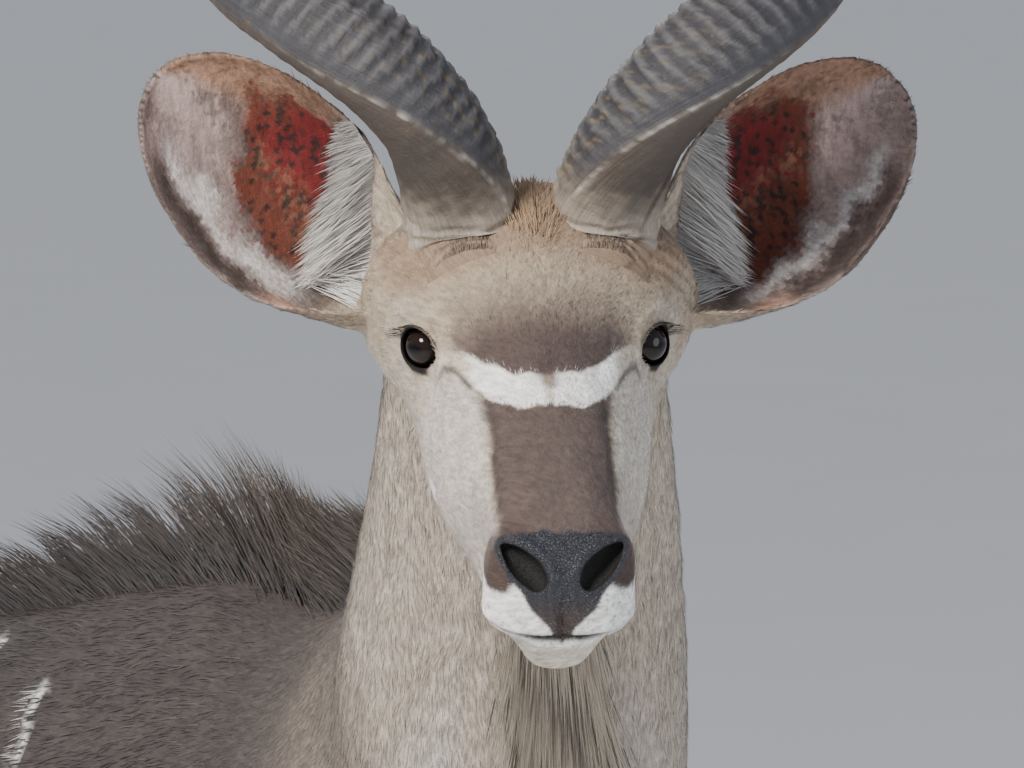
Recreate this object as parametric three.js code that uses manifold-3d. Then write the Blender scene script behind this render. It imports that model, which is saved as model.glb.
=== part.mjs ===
// A greater kudu bull at life size, standing, with its head turned to its right. Millimetres: +X is the
// animal's left, -Y is forward and +Z is up. The working frame has its origin on the ground under the
// withers, and the finished group is moved so that the middle of the model's footprint is the origin.
import * as THREE from 'three';
import { mergeVertices } from 'three/addons/utils/BufferGeometryUtils.js';
import Module from 'manifold-3d';

const wasm = await Module();
wasm.setup();

// Driving dimensions of the animal
const GAP = 0.3;                    // between nodes that touch
const WITHERS = 1385;               // height of the withers, without the crest
const EYES_AT = [-226, -552, 1643]; // point between the eyes
const HEAD_TURN = 40;               // degrees that the face turns to the animal's right
const HEAD_DROP = 33;               // degrees that the face line points below the horizon
const EYE_SPAN = 82;                // eyeball centre from the midline
const EYE_RADIUS = 20;
const LID = 3;                      // thickness of the eyelids
const EAR_LENGTH = 250;             // from its root in the skull to its tip
const EAR_WIDTH = 162;
const EAR_RISE = [43.5, 47];         // degrees above level in the face's plane, left ear and right
const EAR_STALK = 50;               // width of the tube at its root
const EAR_THICK = 4.5;
const HORN_BASE = [45, 42];         // half depth and half width of the horn at the brow
const HORN_REACH = 900;             // straight height of the horn along its own axis
const HORN_TURNS = 2.56;
const HORN_COIL = 71;               // sideways radius of the horn's spiral at its first turn
const HORN_SWING = 1.4;             // how much deeper the spiral is from front to back
const CORONET = 58;                 // height of the top of the hooves
const CREST_BACK = 45;              // length of the hair along the back
const CREST_WITHERS = 118;          // length of the hair over the withers
const BEARD = 150;                  // length of the fringe under the throat
const CREST_LOCKS = 38;
const CREST_LOCK = 104;             // width of a lock of the crest, fore and aft
const BEARD_ROWS = 12;

const SIDES = [['left', 1], ['right', -1]];

const rad = THREE.MathUtils.degToRad;
const vec = (x, y, z) => new THREE.Vector3(x, y, z);
const smooth = (a, b, x) => THREE.MathUtils.smoothstep(x, a, b);

// Solids from closed meshes

function solidOf(geometry) {
  const bare = geometry.clone();
  bare.deleteAttribute('normal');
  bare.deleteAttribute('uv');
  const merged = mergeVertices(bare, 1e-4);
  return new wasm.Manifold(new wasm.Mesh({
    numProp: 3,
    vertProperties: merged.attributes.position.array,
    triVerts: new Uint32Array(merged.index.array),
  }));
}

// A solid from points and triangles, turned inside out where that is needed.
function closedSolid(points, index) {
  const geometry = new THREE.BufferGeometry();
  geometry.setAttribute('position', new THREE.Float32BufferAttribute(points.flatMap((p) => p.toArray()), 3));
  geometry.setIndex(index);
  const made = solidOf(geometry);
  return made.volume() > 0 ? made : solidOf(geometry.setIndex(index.reverse()));
}

function geometryOf(solid) {
  const { vertProperties, triVerts } = solid.getMesh();
  const geometry = new THREE.BufferGeometry();
  geometry.setAttribute('position', new THREE.Float32BufferAttribute(vertProperties, 3));
  geometry.setIndex(Array.from(triVerts));
  geometry.computeVertexNormals();
  return geometry;
}

// The same solid with every point moved outwards.
function grown(solid, by) {
  const geometry = geometryOf(solid);
  const { position, normal } = geometry.attributes;
  for (let i = 0; i < position.count; i++) {
    const point = vec(0, 0, 0).fromBufferAttribute(position, i);
    point.addScaledVector(vec(0, 0, 0).fromBufferAttribute(normal, i), by);
    position.setXYZ(i, ...point.toArray());
  }
  return solidOf(geometry);
}

// A closed solid through a list of rings of points, each end closed by a fan.
function loft(rings) {
  const count = rings[0].length;
  const points = rings.flat();
  const middle = (ring) => ring.reduce((sum, p) => sum.add(p), vec(0, 0, 0)).divideScalar(count);
  const start = points.push(middle(rings[0])) - 1;
  const end = points.push(middle(rings[rings.length - 1])) - 1;
  const index = [];
  for (let r = 0; r + 1 < rings.length; r++) {
    for (let i = 0; i < count; i++) {
      const a = r * count + i;
      const b = r * count + ((i + 1) % count);
      index.push(a, b, b + count, a, b + count, a + count);
    }
  }
  const last = (rings.length - 1) * count;
  for (let i = 0; i < count; i++) {
    const next = (i + 1) % count;
    index.push(start, next, i);
    index.push(end, last + i, last + next);
  }
  return closedSolid(points, index);
}

// A ring with its own reach up, down and sideways from its widest level; square is 2 for an ellipse.
function ring(centre, up, down, side, count, squareUp = 2, squareDown = 2) {
  const bend = (v, square) => Math.sign(v) * Math.abs(v) ** (2 / square);
  return Array.from({ length: count }, (_, i) => {
    const angle = (2 * Math.PI * i) / count;
    const square = Math.sin(angle) >= 0 ? squareUp : squareDown;
    const lift = bend(Math.sin(angle), square);
    return centre.clone()
      .addScaledVector(side, bend(Math.cos(angle), square))
      .addScaledVector(lift >= 0 ? up : down, Math.abs(lift));
  });
}

// Stations are objects with the same number fields; between them every field follows a smooth curve.
function between(stations, t) {
  const last = stations.length - 1;
  const i = Math.min(Math.floor(t * last), last - 1);
  const u = t * last - i;
  const pick = (k, key) => stations[THREE.MathUtils.clamp(k, 0, last)][key];
  return Object.fromEntries(Object.keys(stations[0]).map((key) => {
    const [p, a, b, n] = [i - 1, i, i + 1, i + 2].map((k) => pick(k, key));
    const curve = a + 0.5 * u * (b - p + u * (2 * p - 5 * a + 4 * b - n + u * (3 * (a - b) + n - p)));
    return [key, curve];
  }));
}

function sphere(centre, radius, segments) {
  const ball = new THREE.SphereGeometry(radius, segments, Math.round(segments * 0.66));
  return solidOf(ball.translate(...centre.toArray()));
}

// The half of space on the side of a plane that its normal points to, as a large block.
function halfSpace(point, normal) {
  const size = 5000;
  const block = new THREE.BoxGeometry(size, size, size).translate(0, 0, size / 2);
  block.applyQuaternion(new THREE.Quaternion().setFromUnitVectors(vec(0, 0, 1), normal.clone().normalize()));
  return solidOf(block.translate(...point.toArray()));
}

const union = (solids) => wasm.Manifold.union(solids);
const largest = (solid) => solid.decompose().sort((a, b) => b.volume() - a.volume())[0];

// The head's own frame: left, forward along the face and up out of the brow, from the point between the eyes

const turn = rad(HEAD_TURN);
const drop = rad(HEAD_DROP);
const FACING = vec(-Math.sin(turn), -Math.cos(turn), 0);
const HEAD_LEFT = vec(Math.cos(turn), -Math.sin(turn), 0);
const HEAD_FORWARD = FACING.clone().multiplyScalar(Math.cos(drop)).add(vec(0, 0, -Math.sin(drop)));
const HEAD_UP = FACING.clone().multiplyScalar(Math.sin(drop)).add(vec(0, 0, Math.cos(drop)));

const headVector = (left, forward, up) => vec(0, 0, 0)
  .addScaledVector(HEAD_LEFT, left).addScaledVector(HEAD_FORWARD, forward).addScaledVector(HEAD_UP, up);
const headPoint = (left, forward, up) => headVector(left, forward, up).add(vec(...EYES_AT));

// Skull with its flesh, from the poll to the tip of the nose. level is the height of the widest place.
const HEAD_STATIONS = [
  { along: -168, top: 30, low: -60, half: 60, level: -20, square: 2.0, squareLow: 1.9 },
  { along: -145, top: 60, low: -95, half: 86, level: -15, square: 2.1, squareLow: 1.9 },
  { along: -105, top: 76, low: -124, half: 100, level: -12, square: 2.2, squareLow: 2.0 },
  { along: -60, top: 84, low: -142, half: 104, level: -12, square: 2.3, squareLow: 2.1 },
  { along: -15, top: 76, low: -146, half: 98, level: -20, square: 2.3, squareLow: 2.3 },
  { along: 30, top: 61, low: -138, half: 92, level: -42, square: 2.1, squareLow: 2.6 },
  { along: 75, top: 51, low: -126, half: 86, level: -56, square: 1.9, squareLow: 2.8 },
  { along: 120, top: 45, low: -114, half: 77, level: -56, square: 1.9, squareLow: 2.8 },
  { along: 165, top: 40, low: -103, half: 66, level: -48, square: 2.1, squareLow: 2.6 },
  { along: 210, top: 35, low: -102, half: 57, level: -38, square: 2.4, squareLow: 2.2 },
  { along: 245, top: 28, low: -104, half: 56, level: -34, square: 2.4, squareLow: 1.9 },
  { along: 268, top: 14, low: -97, half: 50, level: -34, square: 2.3, squareLow: 1.9 },
  { along: 283, top: -4, low: -74, half: 38, level: -36, square: 2.2, squareLow: 1.9 },
  { along: 290, top: -20, low: -56, half: 18, level: -38, square: 2.0, squareLow: 1.9 },
];

// Soft rises and hollows over the head: place on one side, reach and height in millimetres.
const HEAD_FORMS = [
  { left: 88, forward: -4, up: 20, reach: 22, rise: 6 },       // rim of the orbit
  { left: 74, forward: 34, up: -6, reach: 20, rise: -6 },      // hollow before the eye
  { left: 92, forward: -60, up: -70, reach: 42, rise: 3 },     // jaw muscle
  { left: 106, forward: -72, up: 4, reach: 34, rise: 24 },     // root of the ear
  { left: 100, forward: -50, up: -44, reach: 28, rise: 15 },   // fold below the ear
  { left: 36, forward: 130, up: 36, reach: 20, rise: 4 },      // edge of the bridge of the nose
  { left: 44, forward: 246, up: 4, reach: 17, rise: 8 },       // wing of the nostril
  { left: 40, forward: 262, up: -44, reach: 17, rise: 7 },     // upper lip
  { left: 0, forward: -40, up: 84, reach: 26, rise: 4 },       // middle of the brow
  { left: 56, forward: 192, up: -30, reach: 20, rise: -7 },    // hollow behind the lips
];

function shapeHead(rings) {
  return rings.map(({ middle, points }) => points.map((p) => {
    const out = { left: p.left - middle.left, up: p.up - middle.up };
    const length = Math.hypot(out.left, out.up) || 1;
    let rise = 0;
    for (const form of HEAD_FORMS) {
      for (const side of form.left ? [1, -1] : [1]) {
        const far = Math.hypot(p.left - side * form.left, p.forward - form.forward, p.up - form.up);
        rise += form.rise * Math.exp(-((far / form.reach) ** 2) / 2);
      }
    }
    return headPoint(p.left + (rise * out.left) / length, p.forward, p.up + (rise * out.up) / length);
  }));
}

function headShell(steps, sides) {
  const rings = Array.from({ length: steps + 1 }, (_, r) => {
    const s = between(HEAD_STATIONS, r / steps);
    const flat = ring(vec(0, 0, s.level), vec(0, 0, s.top - s.level), vec(0, 0, s.low - s.level),
      vec(s.half, 0, 0), sides, s.square, s.squareLow);
    return {
      middle: { left: 0, up: s.level },
      points: flat.map((p) => ({ left: p.x, forward: s.along, up: p.z })),
    };
  });
  return loft(shapeHead(rings));
}

// Eyes and lids

const eyeCentre = (side) => headPoint(side * EYE_SPAN, 0, -2);
const gaze = (side) => headVector(side * 0.76, 0.56, 0.28).normalize();

// A lens-shaped prism that opens the lids along the gaze, its long corner line dipping towards the nose.
function lidOpening(side) {
  const out = gaze(side);
  const along = headVector(side * -0.45, 0.84, -0.3).projectOnPlane(out).normalize();
  const across = out.clone().cross(along);
  const half = { length: 19.5, height: 15 };
  const lens = Array.from({ length: 16 }, (_, i) => {
    const a = (2 * Math.PI * i) / 16;
    const narrow = Math.abs(Math.sin(a)) ** 1.15 * Math.sign(Math.sin(a));
    return eyeCentre(side).addScaledVector(along, half.length * Math.cos(a))
      .addScaledVector(across, half.height * narrow);
  });
  return loft([4, 60].map((far) => lens.map((p) => p.clone().addScaledVector(out, far))));
}

// Nostrils, a comma each: a round front with a slit that runs up and back.
function nostril(side) {
  const path = [
    { left: 25, forward: 268, up: -1, radius: 13 },
    { left: 33, forward: 263, up: 7, radius: 12 },
    { left: 42, forward: 254, up: 13, radius: 9 },
  ];
  return union(path.map((s) => sphere(headPoint(side * s.left, s.forward, s.up), s.radius, 8)));
}

// The line of the mouth: a thin slab round the muzzle that goes in as far as the lips are thick.
function mouthLine() {
  const lip = 9;
  const slit = 2.2;
  const line = [
    { forward: 320, up: -44 }, { forward: 272, up: -46 }, { forward: 235, up: -58 },
    { forward: 190, up: -58 }, { forward: 172, up: -55 },
  ];
  const rings = line.map((s, i) => {
    const thick = i === line.length - 1 ? 0.4 : slit;
    const corners = [[-90, thick], [90, thick], [90, 0], [-90, 0]];
    return corners.map(([left, up]) => headPoint(left, s.forward, s.up + up));
  });
  const core = [
    { forward: 150, half: 69 - lip }, { forward: 190, half: 61 - lip }, { forward: 230, half: 57 - lip },
    { forward: 262, half: 46 - lip }, { forward: 276, half: 22 },
  ].map((s) => [[-1, -80], [1, -80], [1, -34], [-1, -34]].map(([side, up]) =>
    headPoint(side * s.half, s.forward, up)));
  return loft(rings).subtract(loft(core));
}

// Trunk: dorsal and ventral points, half width, and how far down from the top the widest level lies

const TORSO_STATIONS = [
  { y: 1052, top: 1150, low: 1010, half: 60, level: 0.5, square: 2.0 },
  { y: 1030, top: 1206, low: 930, half: 118, level: 0.5, square: 2.0 },
  { y: 950, top: 1268, low: 872, half: 172, level: 0.46, square: 2.0 },
  { y: 820, top: 1308, low: 842, half: 202, level: 0.44, square: 2.0 },
  { y: 660, top: 1316, low: 812, half: 214, level: 0.5, square: 1.9 },
  { y: 480, top: 1308, low: 772, half: 228, level: 0.56, square: 1.85 },
  { y: 300, top: 1318, low: 748, half: 230, level: 0.58, square: 1.75 },
  { y: 140, top: 1358, low: 742, half: 216, level: 0.58, square: 1.6 },
  { y: 0, top: WITHERS, low: 748, half: 200, level: 0.56, square: 1.55 },
];

// Front of the chest and the neck: the rings lean over until they lie across the neck, behind the jaw.
function neckStations() {
  const top = [vec(0, -95, 1372), vec(-18, -195, 1402), vec(-58, -300, 1498), headPoint(0, -148, 62)];
  const low = [vec(0, -150, 770), vec(-12, -345, 905), vec(-78, -450, 1230), headPoint(0, -30, -112)];
  const curve = (p, t) => new THREE.CatmullRomCurve3(p).getPoint(t);
  const count = 6;
  return Array.from({ length: count }, (_, i) => {
    const t = i / (count - 1);
    const [d, v] = [curve(top, t), curve(low, t)];
    return {
      topX: d.x, topY: d.y, topZ: d.z, lowX: v.x, lowY: v.y, lowZ: v.z,
      half: 190 - 48 * smooth(0, 0.6, t) - 30 * smooth(0.6, 1, t), level: 0.55 - 0.05 * t,
      turn: HEAD_TURN * smooth(0, 1, t), square: 1.6 + 0.4 * smooth(0, 0.5, t),
    };
  });
}

const TRUNK_STATIONS = [
  ...TORSO_STATIONS.map((s) => ({
    topX: 0, topY: s.y, topZ: s.top, lowX: 0, lowY: s.y, lowZ: s.low,
    half: s.half, level: s.level, turn: 0, square: s.square,
  })),
  ...neckStations(),
];

function trunkFrame(s) {
  const top = vec(s.topX, s.topY, s.topZ);
  const low = vec(s.lowX, s.lowY, s.lowZ);
  const middle = top.clone().lerp(low, s.level);
  const side = vec(Math.cos(rad(s.turn)), -Math.sin(rad(s.turn)), 0).multiplyScalar(s.half);
  return { top, low, middle, side };
}

function trunk(steps, sides) {
  return loft(Array.from({ length: steps + 1 }, (_, i) => {
    const s = between(TRUNK_STATIONS, i / steps);
    const f = trunkFrame(s);
    const [up, down] = [f.top.clone().sub(f.middle), f.low.clone().sub(f.middle)];
    return ring(f.middle, up, down, f.side, sides, s.square);
  }));
}

// Legs: level rings from the shoulder or hip down to the coronet. deep is fore and aft, wide is sideways.

const FORELEG = [
  { z: 1180, y: -40, x: 105, deep: 80, wide: 40 },
  { z: 1050, y: -60, x: 128, deep: 118, wide: 58 },
  { z: 900, y: -40, x: 138, deep: 106, wide: 60 },
  { z: 800, y: -2, x: 134, deep: 80, wide: 50 },
  { z: 710, y: 4, x: 125, deep: 57, wide: 41 },
  { z: 600, y: -6, x: 117, deep: 42, wide: 34 },
  { z: 505, y: -12, x: 113, deep: 33, wide: 29 },
  { z: 445, y: -20, x: 111, deep: 35, wide: 32 },
  { z: 400, y: -18, x: 110, deep: 27, wide: 26 },
  { z: 310, y: -18, x: 109, deep: 21, wide: 19 },
  { z: 215, y: -18, x: 109, deep: 22, wide: 21 },
  { z: 158, y: -26, x: 109, deep: 29, wide: 27 },
  { z: 108, y: -42, x: 109, deep: 23, wide: 24 },
  { z: 72, y: -54, x: 109, deep: 30, wide: 31 },
  { z: CORONET, y: -58, x: 109, deep: 32, wide: 32 },
];
const HIND_LEG = [
  { z: 1235, y: 860, x: 90, deep: 90, wide: 50 },
  { z: 1130, y: 865, x: 108, deep: 160, wide: 88 },
  { z: 1000, y: 850, x: 116, deep: 178, wide: 88 },
  { z: 885, y: 830, x: 122, deep: 142, wide: 74 },
  { z: 790, y: 842, x: 120, deep: 92, wide: 56 },
  { z: 710, y: 880, x: 116, deep: 64, wide: 42 },
  { z: 640, y: 918, x: 113, deep: 50, wide: 34 },
  { z: 590, y: 940, x: 111, deep: 52, wide: 33 },
  { z: 535, y: 938, x: 110, deep: 38, wide: 30 },
  { z: 460, y: 930, x: 110, deep: 27, wide: 23 },
  { z: 330, y: 926, x: 110, deep: 23, wide: 20 },
  { z: 225, y: 922, x: 110, deep: 24, wide: 22 },
  { z: 165, y: 912, x: 110, deep: 31, wide: 28 },
  { z: 112, y: 892, x: 110, deep: 24, wide: 25 },
  { z: 74, y: 876, x: 110, deep: 31, wide: 32 },
  { z: CORONET, y: 872, x: 110, deep: 33, wide: 33 },
];

const LEGS = [
  { name: 'foreleg_left', stations: FORELEG, side: 1, step: -46, sides: 10, steps: 19 },
  { name: 'foreleg_right', stations: FORELEG, side: -1, step: 38, sides: 10, steps: 19 },
  { name: 'hindleg_left', stations: HIND_LEG, side: 1, step: 62, sides: 10, steps: 21 },
  { name: 'hindleg_right', stations: HIND_LEG, side: -1, step: -58, sides: 10, steps: 21 },
];

// A leg swings from its top, so its foot lands step millimetres behind where it hangs.
const swing = (leg, z) => leg.step * (1 - z / leg.stations[0].z);

function legSolid(leg) {
  return loft(Array.from({ length: leg.steps + 1 }, (_, i) => {
    const s = between(leg.stations, i / leg.steps);
    const centre = vec(leg.side * s.x, s.y + swing(leg, s.z), s.z);
    return ring(centre, vec(0, s.deep, 0), vec(0, -s.deep, 0), vec(s.wide, 0, 0), leg.sides);
  }));
}

// Two claws to a foot, and two dew claws behind the fetlock.
function hoof(leg, part) {
  const end = leg.stations[leg.stations.length - 1];
  const footY = end.y + swing(leg, end.z);
  const levels = [
    { z: CORONET - GAP, deep: 31, wide: 14.5, ahead: 0 }, { z: 40, deep: 36, wide: 17, ahead: -7 },
    { z: 18, deep: 44, wide: 19, ahead: -16 }, { z: 0, deep: 50, wide: 20, ahead: -22 },
  ];
  return loft(levels.map((s) => {
    const centre = vec(leg.side * end.x + part * (s.wide + 1.5), footY + s.ahead, s.z);
    const [heel, toe] = [vec(0, s.deep * 0.85, 0), vec(part * -s.wide * 0.2, -s.deep, 0)];
    return ring(centre, heel, toe, vec(s.wide, 0, 0), 10, 2.6, 1.8);
  }));
}

function dewClaw(leg, part) {
  const fetlock = leg.stations[leg.stations.length - 4];
  const back = fetlock.y + swing(leg, fetlock.z);
  const levels = [[0, 9], [-9, 10], [-20, 7], [-28, 2]];
  return loft(levels.map(([fall, radius]) => {
    const y = back + fetlock.deep - 2 - fall * 0.35;
    const centre = vec(leg.side * fetlock.x + part * 13, y, fetlock.z - 6 + fall);
    return ring(centre, vec(0, radius, 0), vec(0, -radius, 0), vec(radius * 0.8, 0, 0), 6);
  }));
}

// Horns: a spiral that leans outwards more and more, with a keel that turns with it

const hornTurn = (t) => 2 * Math.PI * HORN_TURNS * (Math.hypot(t, 0.06) - 0.06);

function hornPoint(side, t) {
  const axis = headVector(0, -0.79, 0.613);
  const ahead = headVector(0, 0.613, 0.79);
  const coil = HORN_COIL * (1 - 0.4 * t);
  const angle = hornTurn(t);
  const lean = HORN_REACH * t * (0.135 + 0.13 * t);
  return headPoint(side * (50 + lean + coil * (1 - Math.cos(angle))), -62, 46)
    .addScaledVector(axis, HORN_REACH * t)
    .addScaledVector(ahead, HORN_SWING * coil * Math.sin(angle));
}

function horn(side) {
  const steps = 46;
  const sides = 9;
  const rings = Array.from({ length: steps + 1 }, (_, i) => {
    const t = i / steps;
    const along = hornPoint(side, t + 0.01).sub(hornPoint(side, Math.max(t - 0.01, 0))).normalize();
    const keel = headVector(side * -1.1, 0.613, 0.79).projectOnPlane(along).normalize();
    keel.applyAxisAngle(along, side * hornTurn(t));
    const across = along.clone().cross(keel);
    const taper = 0.985 * (1 - t ** 1.25) ** 0.8 + 0.015;
    const [deep, wide] = HORN_BASE.map((r) => r * taper);
    const [ahead, behind] = [1.04, -1.12].map((share) => keel.clone().multiplyScalar(deep * share));
    return ring(hornPoint(side, t), ahead, behind, across.multiplyScalar(wide), sides, 1.7, 2.2);
  });
  return loft(rings);
}

// Ears: a cup of skin, nearly a tube at its root and open like a leaf towards its tip

function earFrame(side) {
  const rise = rad(EAR_RISE[side > 0 ? 0 : 1]);
  const along = headVector(side * Math.cos(rise), -0.656 * Math.sin(rise), 0.755 * Math.sin(rise));
  const open = headVector(0, 0.755, 0.656).projectOnPlane(along).normalize();
  return { root: headPoint(side * 114, -84, -30), along, open, across: along.clone().cross(open) };
}

// s runs from the root to the tip and t from one rim to the other, inset is how far inside the outer skin.
function earPoint(side, s, t, inset) {
  const frame = earFrame(side);
  const widest = 0.45;
  const [stalk, spread] = [EAR_STALK / 2, EAR_WIDTH / 2];
  const half = s < widest
    ? stalk + (spread - stalk) * Math.sin((Math.PI / 2) * (s / widest))
    : spread * Math.sqrt(Math.max(1 - ((s - widest) / (1 - widest)) ** 2, 0.003));
  const curl = rad(160 - 72 * smooth(0, 0.3, s) - 30 * smooth(0.2, 1, s));
  const radius = half / (curl < Math.PI / 2 ? Math.sin(curl) : 1);
  const back = -stalk - 16 * Math.sin(Math.PI * Math.min(s * 1.15, 1));
  const angle = curl * t;
  const sunk = 1 - smooth(0, 0.28, s);
  return frame.root.clone().add(headVector(side * -32 * sunk, 4 * sunk, -12 * sunk))
    .addScaledVector(frame.along, EAR_LENGTH * s - inset * smooth(0.8, 1, s))
    .addScaledVector(frame.across, side * (radius - inset) * Math.sin(angle))
    .addScaledVector(frame.open, back + radius - (radius - inset) * Math.cos(angle));
}

function ear(side) {
  const rows = 12;
  const columns = 10;
  const points = [];
  for (const inset of [0, EAR_THICK]) {
    for (let r = 0; r <= rows; r++) {
      for (let c = 0; c <= columns; c++) {
        const t = (2 * c) / columns - 1;
        points.push(earPoint(side, Math.sin((Math.PI / 2) * (r / rows)), inset ? t * 0.985 : t, inset));
      }
    }
  }
  const at = (layer, r, c) => (layer * (rows + 1) + r) * (columns + 1) + c;
  const index = [];
  const quad = (a, b, c, d) => index.push(a, b, c, a, c, d);
  for (let r = 0; r < rows; r++) {
    for (let c = 0; c < columns; c++) {
      quad(at(0, r, c), at(0, r, c + 1), at(0, r + 1, c + 1), at(0, r + 1, c));
      quad(at(1, r, c), at(1, r + 1, c), at(1, r + 1, c + 1), at(1, r, c + 1));
    }
    quad(at(1, r, 0), at(0, r, 0), at(0, r + 1, 0), at(1, r + 1, 0));
    quad(at(0, r, columns), at(1, r, columns), at(1, r + 1, columns), at(0, r + 1, columns));
  }
  for (let c = 0; c < columns; c++) {
    quad(at(0, 0, c), at(1, 0, c), at(1, 0, c + 1), at(0, 0, c + 1));
    quad(at(0, rows, c + 1), at(1, rows, c + 1), at(1, rows, c), at(0, rows, c));
  }
  return closedSolid(points, index);
}

// Tail

const TAIL_PATH = new THREE.CatmullRomCurve3([
  vec(0, 985, 1180), vec(0, 1060, 1172), vec(0, 1098, 1090), vec(0, 1104, 960), vec(0, 1094, 800),
]);
function tail() {
  const steps = 9;
  return loft(Array.from({ length: steps + 1 }, (_, i) => {
    const t = i / steps;
    const along = TAIL_PATH.getTangent(t);
    const radius = 30 - 13 * smooth(0, 0.4, t) - 5 * t;
    const side = vec(radius * 1.15, 0, 0);
    const back = vec(1, 0, 0).cross(along).setLength(radius);
    return ring(TAIL_PATH.getPoint(t), back, back.clone().negate(), side, 8);
  }));
}

// Locks of hair: flat tapered blades that bend as they leave the root

function lock({ root, out, fall, wideAlong, length, width, thick, sunk = 12 }) {
  const shares = [[0, 0.8], [0.45, 1], [0.78, 0.66], [1, 0.08]];
  return loft(shares.map(([s, full]) => {
    const reach = -sunk + (length + sunk) * s;
    const bend = Math.max(reach, 0) / length;
    const centre = root.clone().addScaledVector(out, reach * (1 - 0.25 * bend))
      .addScaledVector(fall, length * 0.5 * bend * bend);
    const flat = wideAlong.clone().setLength((width / 2) * full);
    const through = out.clone().cross(wideAlong).setLength((thick / 2) * Math.max(full, 0.3));
    const corners = [flat, through, flat.clone().negate(), through.clone().negate()];
    return corners.map((corner) => corner.add(centre));
  }));
}

// A seeded draw, so that the hair falls the same way every time.
function draws(seed) {
  let state = seed;
  return (low, high) => {
    state = (state * 1664525 + 1013904223) % 4294967296;
    return low + ((high - low) * state) / 4294967296;
  };
}

const crestHeight = (t) => CREST_BACK
  + (CREST_WITHERS - CREST_BACK) * smooth(0.3, 0.56, t) * (1 - 0.35 * smooth(0.7, 0.95, t));

// Where the crest stands at a place along the trunk: its root, its lie towards the tail, and up.
function crestFrame(t) {
  const { top, low, side } = trunkFrame(between(TRUNK_STATIONS, t));
  const [ahead, behind] = [0.02, -0.02].map((step) => trunkFrame(between(TRUNK_STATIONS, t + step)).top);
  const lie = behind.sub(ahead).normalize();
  const up = top.clone().sub(low).projectOnPlane(lie).normalize();
  return { top, lie, up, across: side.normalize() };
}

// The crest along the nape, the withers and the back: two staggered rows that lean over towards the tail.
const CREST_SPAN = [0.12, 0.965];
function crestLocks() {
  const pick = draws(7);
  const places = crestPlaces(CREST_LOCKS);
  return places.map((t, i) => {
    const { top, lie, up, across } = crestFrame(t);
    const length = crestHeight(t) * pick(0.95, 1.12);
    return lock({
      root: top.addScaledVector(across, (i % 2 ? 1 : -1) * 5),
      out: up.addScaledVector(lie, 1.1 - 0.6 * smooth(0.25, 0.5, t)).normalize(),
      fall: lie.clone().multiplyScalar(0.75).addScaledVector(across, pick(-0.16, 0.16)),
      wideAlong: lie, length, width: CREST_LOCK, thick: 13, sunk: 14,
    });
  });
}

// Places along the crest at even steps of its true length.
function crestPlaces(count) {
  const steps = 200;
  const place = (i) => CREST_SPAN[0] + ((CREST_SPAN[1] - CREST_SPAN[0]) * i) / steps;
  const reach = [0];
  for (let i = 0; i < steps; i++) {
    reach.push(reach[i] + crestFrame(place(i)).top.distanceTo(crestFrame(place(i + 1)).top));
  }
  return Array.from({ length: count }, (_, k) => {
    const wanted = (reach[steps] * k) / (count - 1) - 1e-6;
    return place(reach.findIndex((far) => far >= wanted));
  });
}

function beardFrame(t) {
  const { low, side, middle } = trunkFrame(between(TRUNK_STATIONS, t));
  const out = low.clone().sub(middle).normalize();
  return { low, out, across: side.normalize() };
}

// The fringe from the throat to the front of the chest, in rows that hang over one another.
const BEARD_SPAN = [0.715, 0.955];
const beardLength = (share) => BEARD * (0.62 + 0.38 * Math.sin(Math.PI * share));
function beardLocks() {
  const pick = draws(23);
  const locks = [];
  for (let row = 0; row < BEARD_ROWS; row++) {
    const share = row / (BEARD_ROWS - 1);
    const { low, out, across } = beardFrame(BEARD_SPAN[0] + (BEARD_SPAN[1] - BEARD_SPAN[0]) * share);
    for (const column of row % 2 ? [-0.5, 0.5] : [0]) {
      locks.push(lock({
        root: low.clone().addScaledVector(across, column * 32).addScaledVector(out, -Math.abs(column) * 6),
        out: out.clone().multiplyScalar(0.8).add(vec(0, 0, -0.6)).normalize(),
        fall: vec(0, 0, -0.8).addScaledVector(across, column * 0.2),
        wideAlong: across, length: beardLength(share) * pick(0.92, 1.1), width: 56, thick: 24, sunk: 20,
      }));
    }
  }
  return locks;
}

// The brush of the tail, in rings of locks that hang over one another.
function tailLocks() {
  const pick = draws(41);
  const locks = [];
  const around = 3;
  for (let row = 0; row < 3; row++) {
    for (let i = 0; i < around; i++) {
      const angle = (2 * Math.PI * (i + 0.5 * (row % 2) + 0.25)) / around;
      const out = vec(Math.cos(angle), Math.sin(angle), 0);
      locks.push(lock({
        root: TAIL_PATH.getPoint(0.6 + 0.17 * row).addScaledVector(out, 6),
        out: out.clone().multiplyScalar(0.3).add(vec(0, 0, -1)).normalize(),
        fall: out.clone().multiplyScalar(-0.3), wideAlong: vec(-out.y, out.x, 0),
        length: 165 * pick(0.92, 1.08), width: 60, thick: 22, sunk: 10,
      }));
    }
  }
  return locks;
}

// The whole body, then its parts

const CUTS = {
  shoulder: { point: vec(0, -150, 1250), normal: vec(0, -0.86, 0.5) },
  elbow: { point: vec(0, 0, 755), normal: vec(0, 0, -1) },
  thigh: { point: vec(0, 850, 960), normal: vec(0, 0.35, -1) },
};

// The two sides of a thin cut: what its normal points to, and the rest.
function parted(solid, { point, normal }) {
  const step = normal.clone().setLength(GAP / 2);
  return [
    solid.intersect(halfSpace(point.clone().add(step), normal)),
    solid.intersect(halfSpace(point.clone().sub(step), normal.clone().negate())),
  ];
}

const clear = (solid, others, by = GAP * 1.1) => solid.subtract(union(others.map((one) => grown(one, by))));

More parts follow.
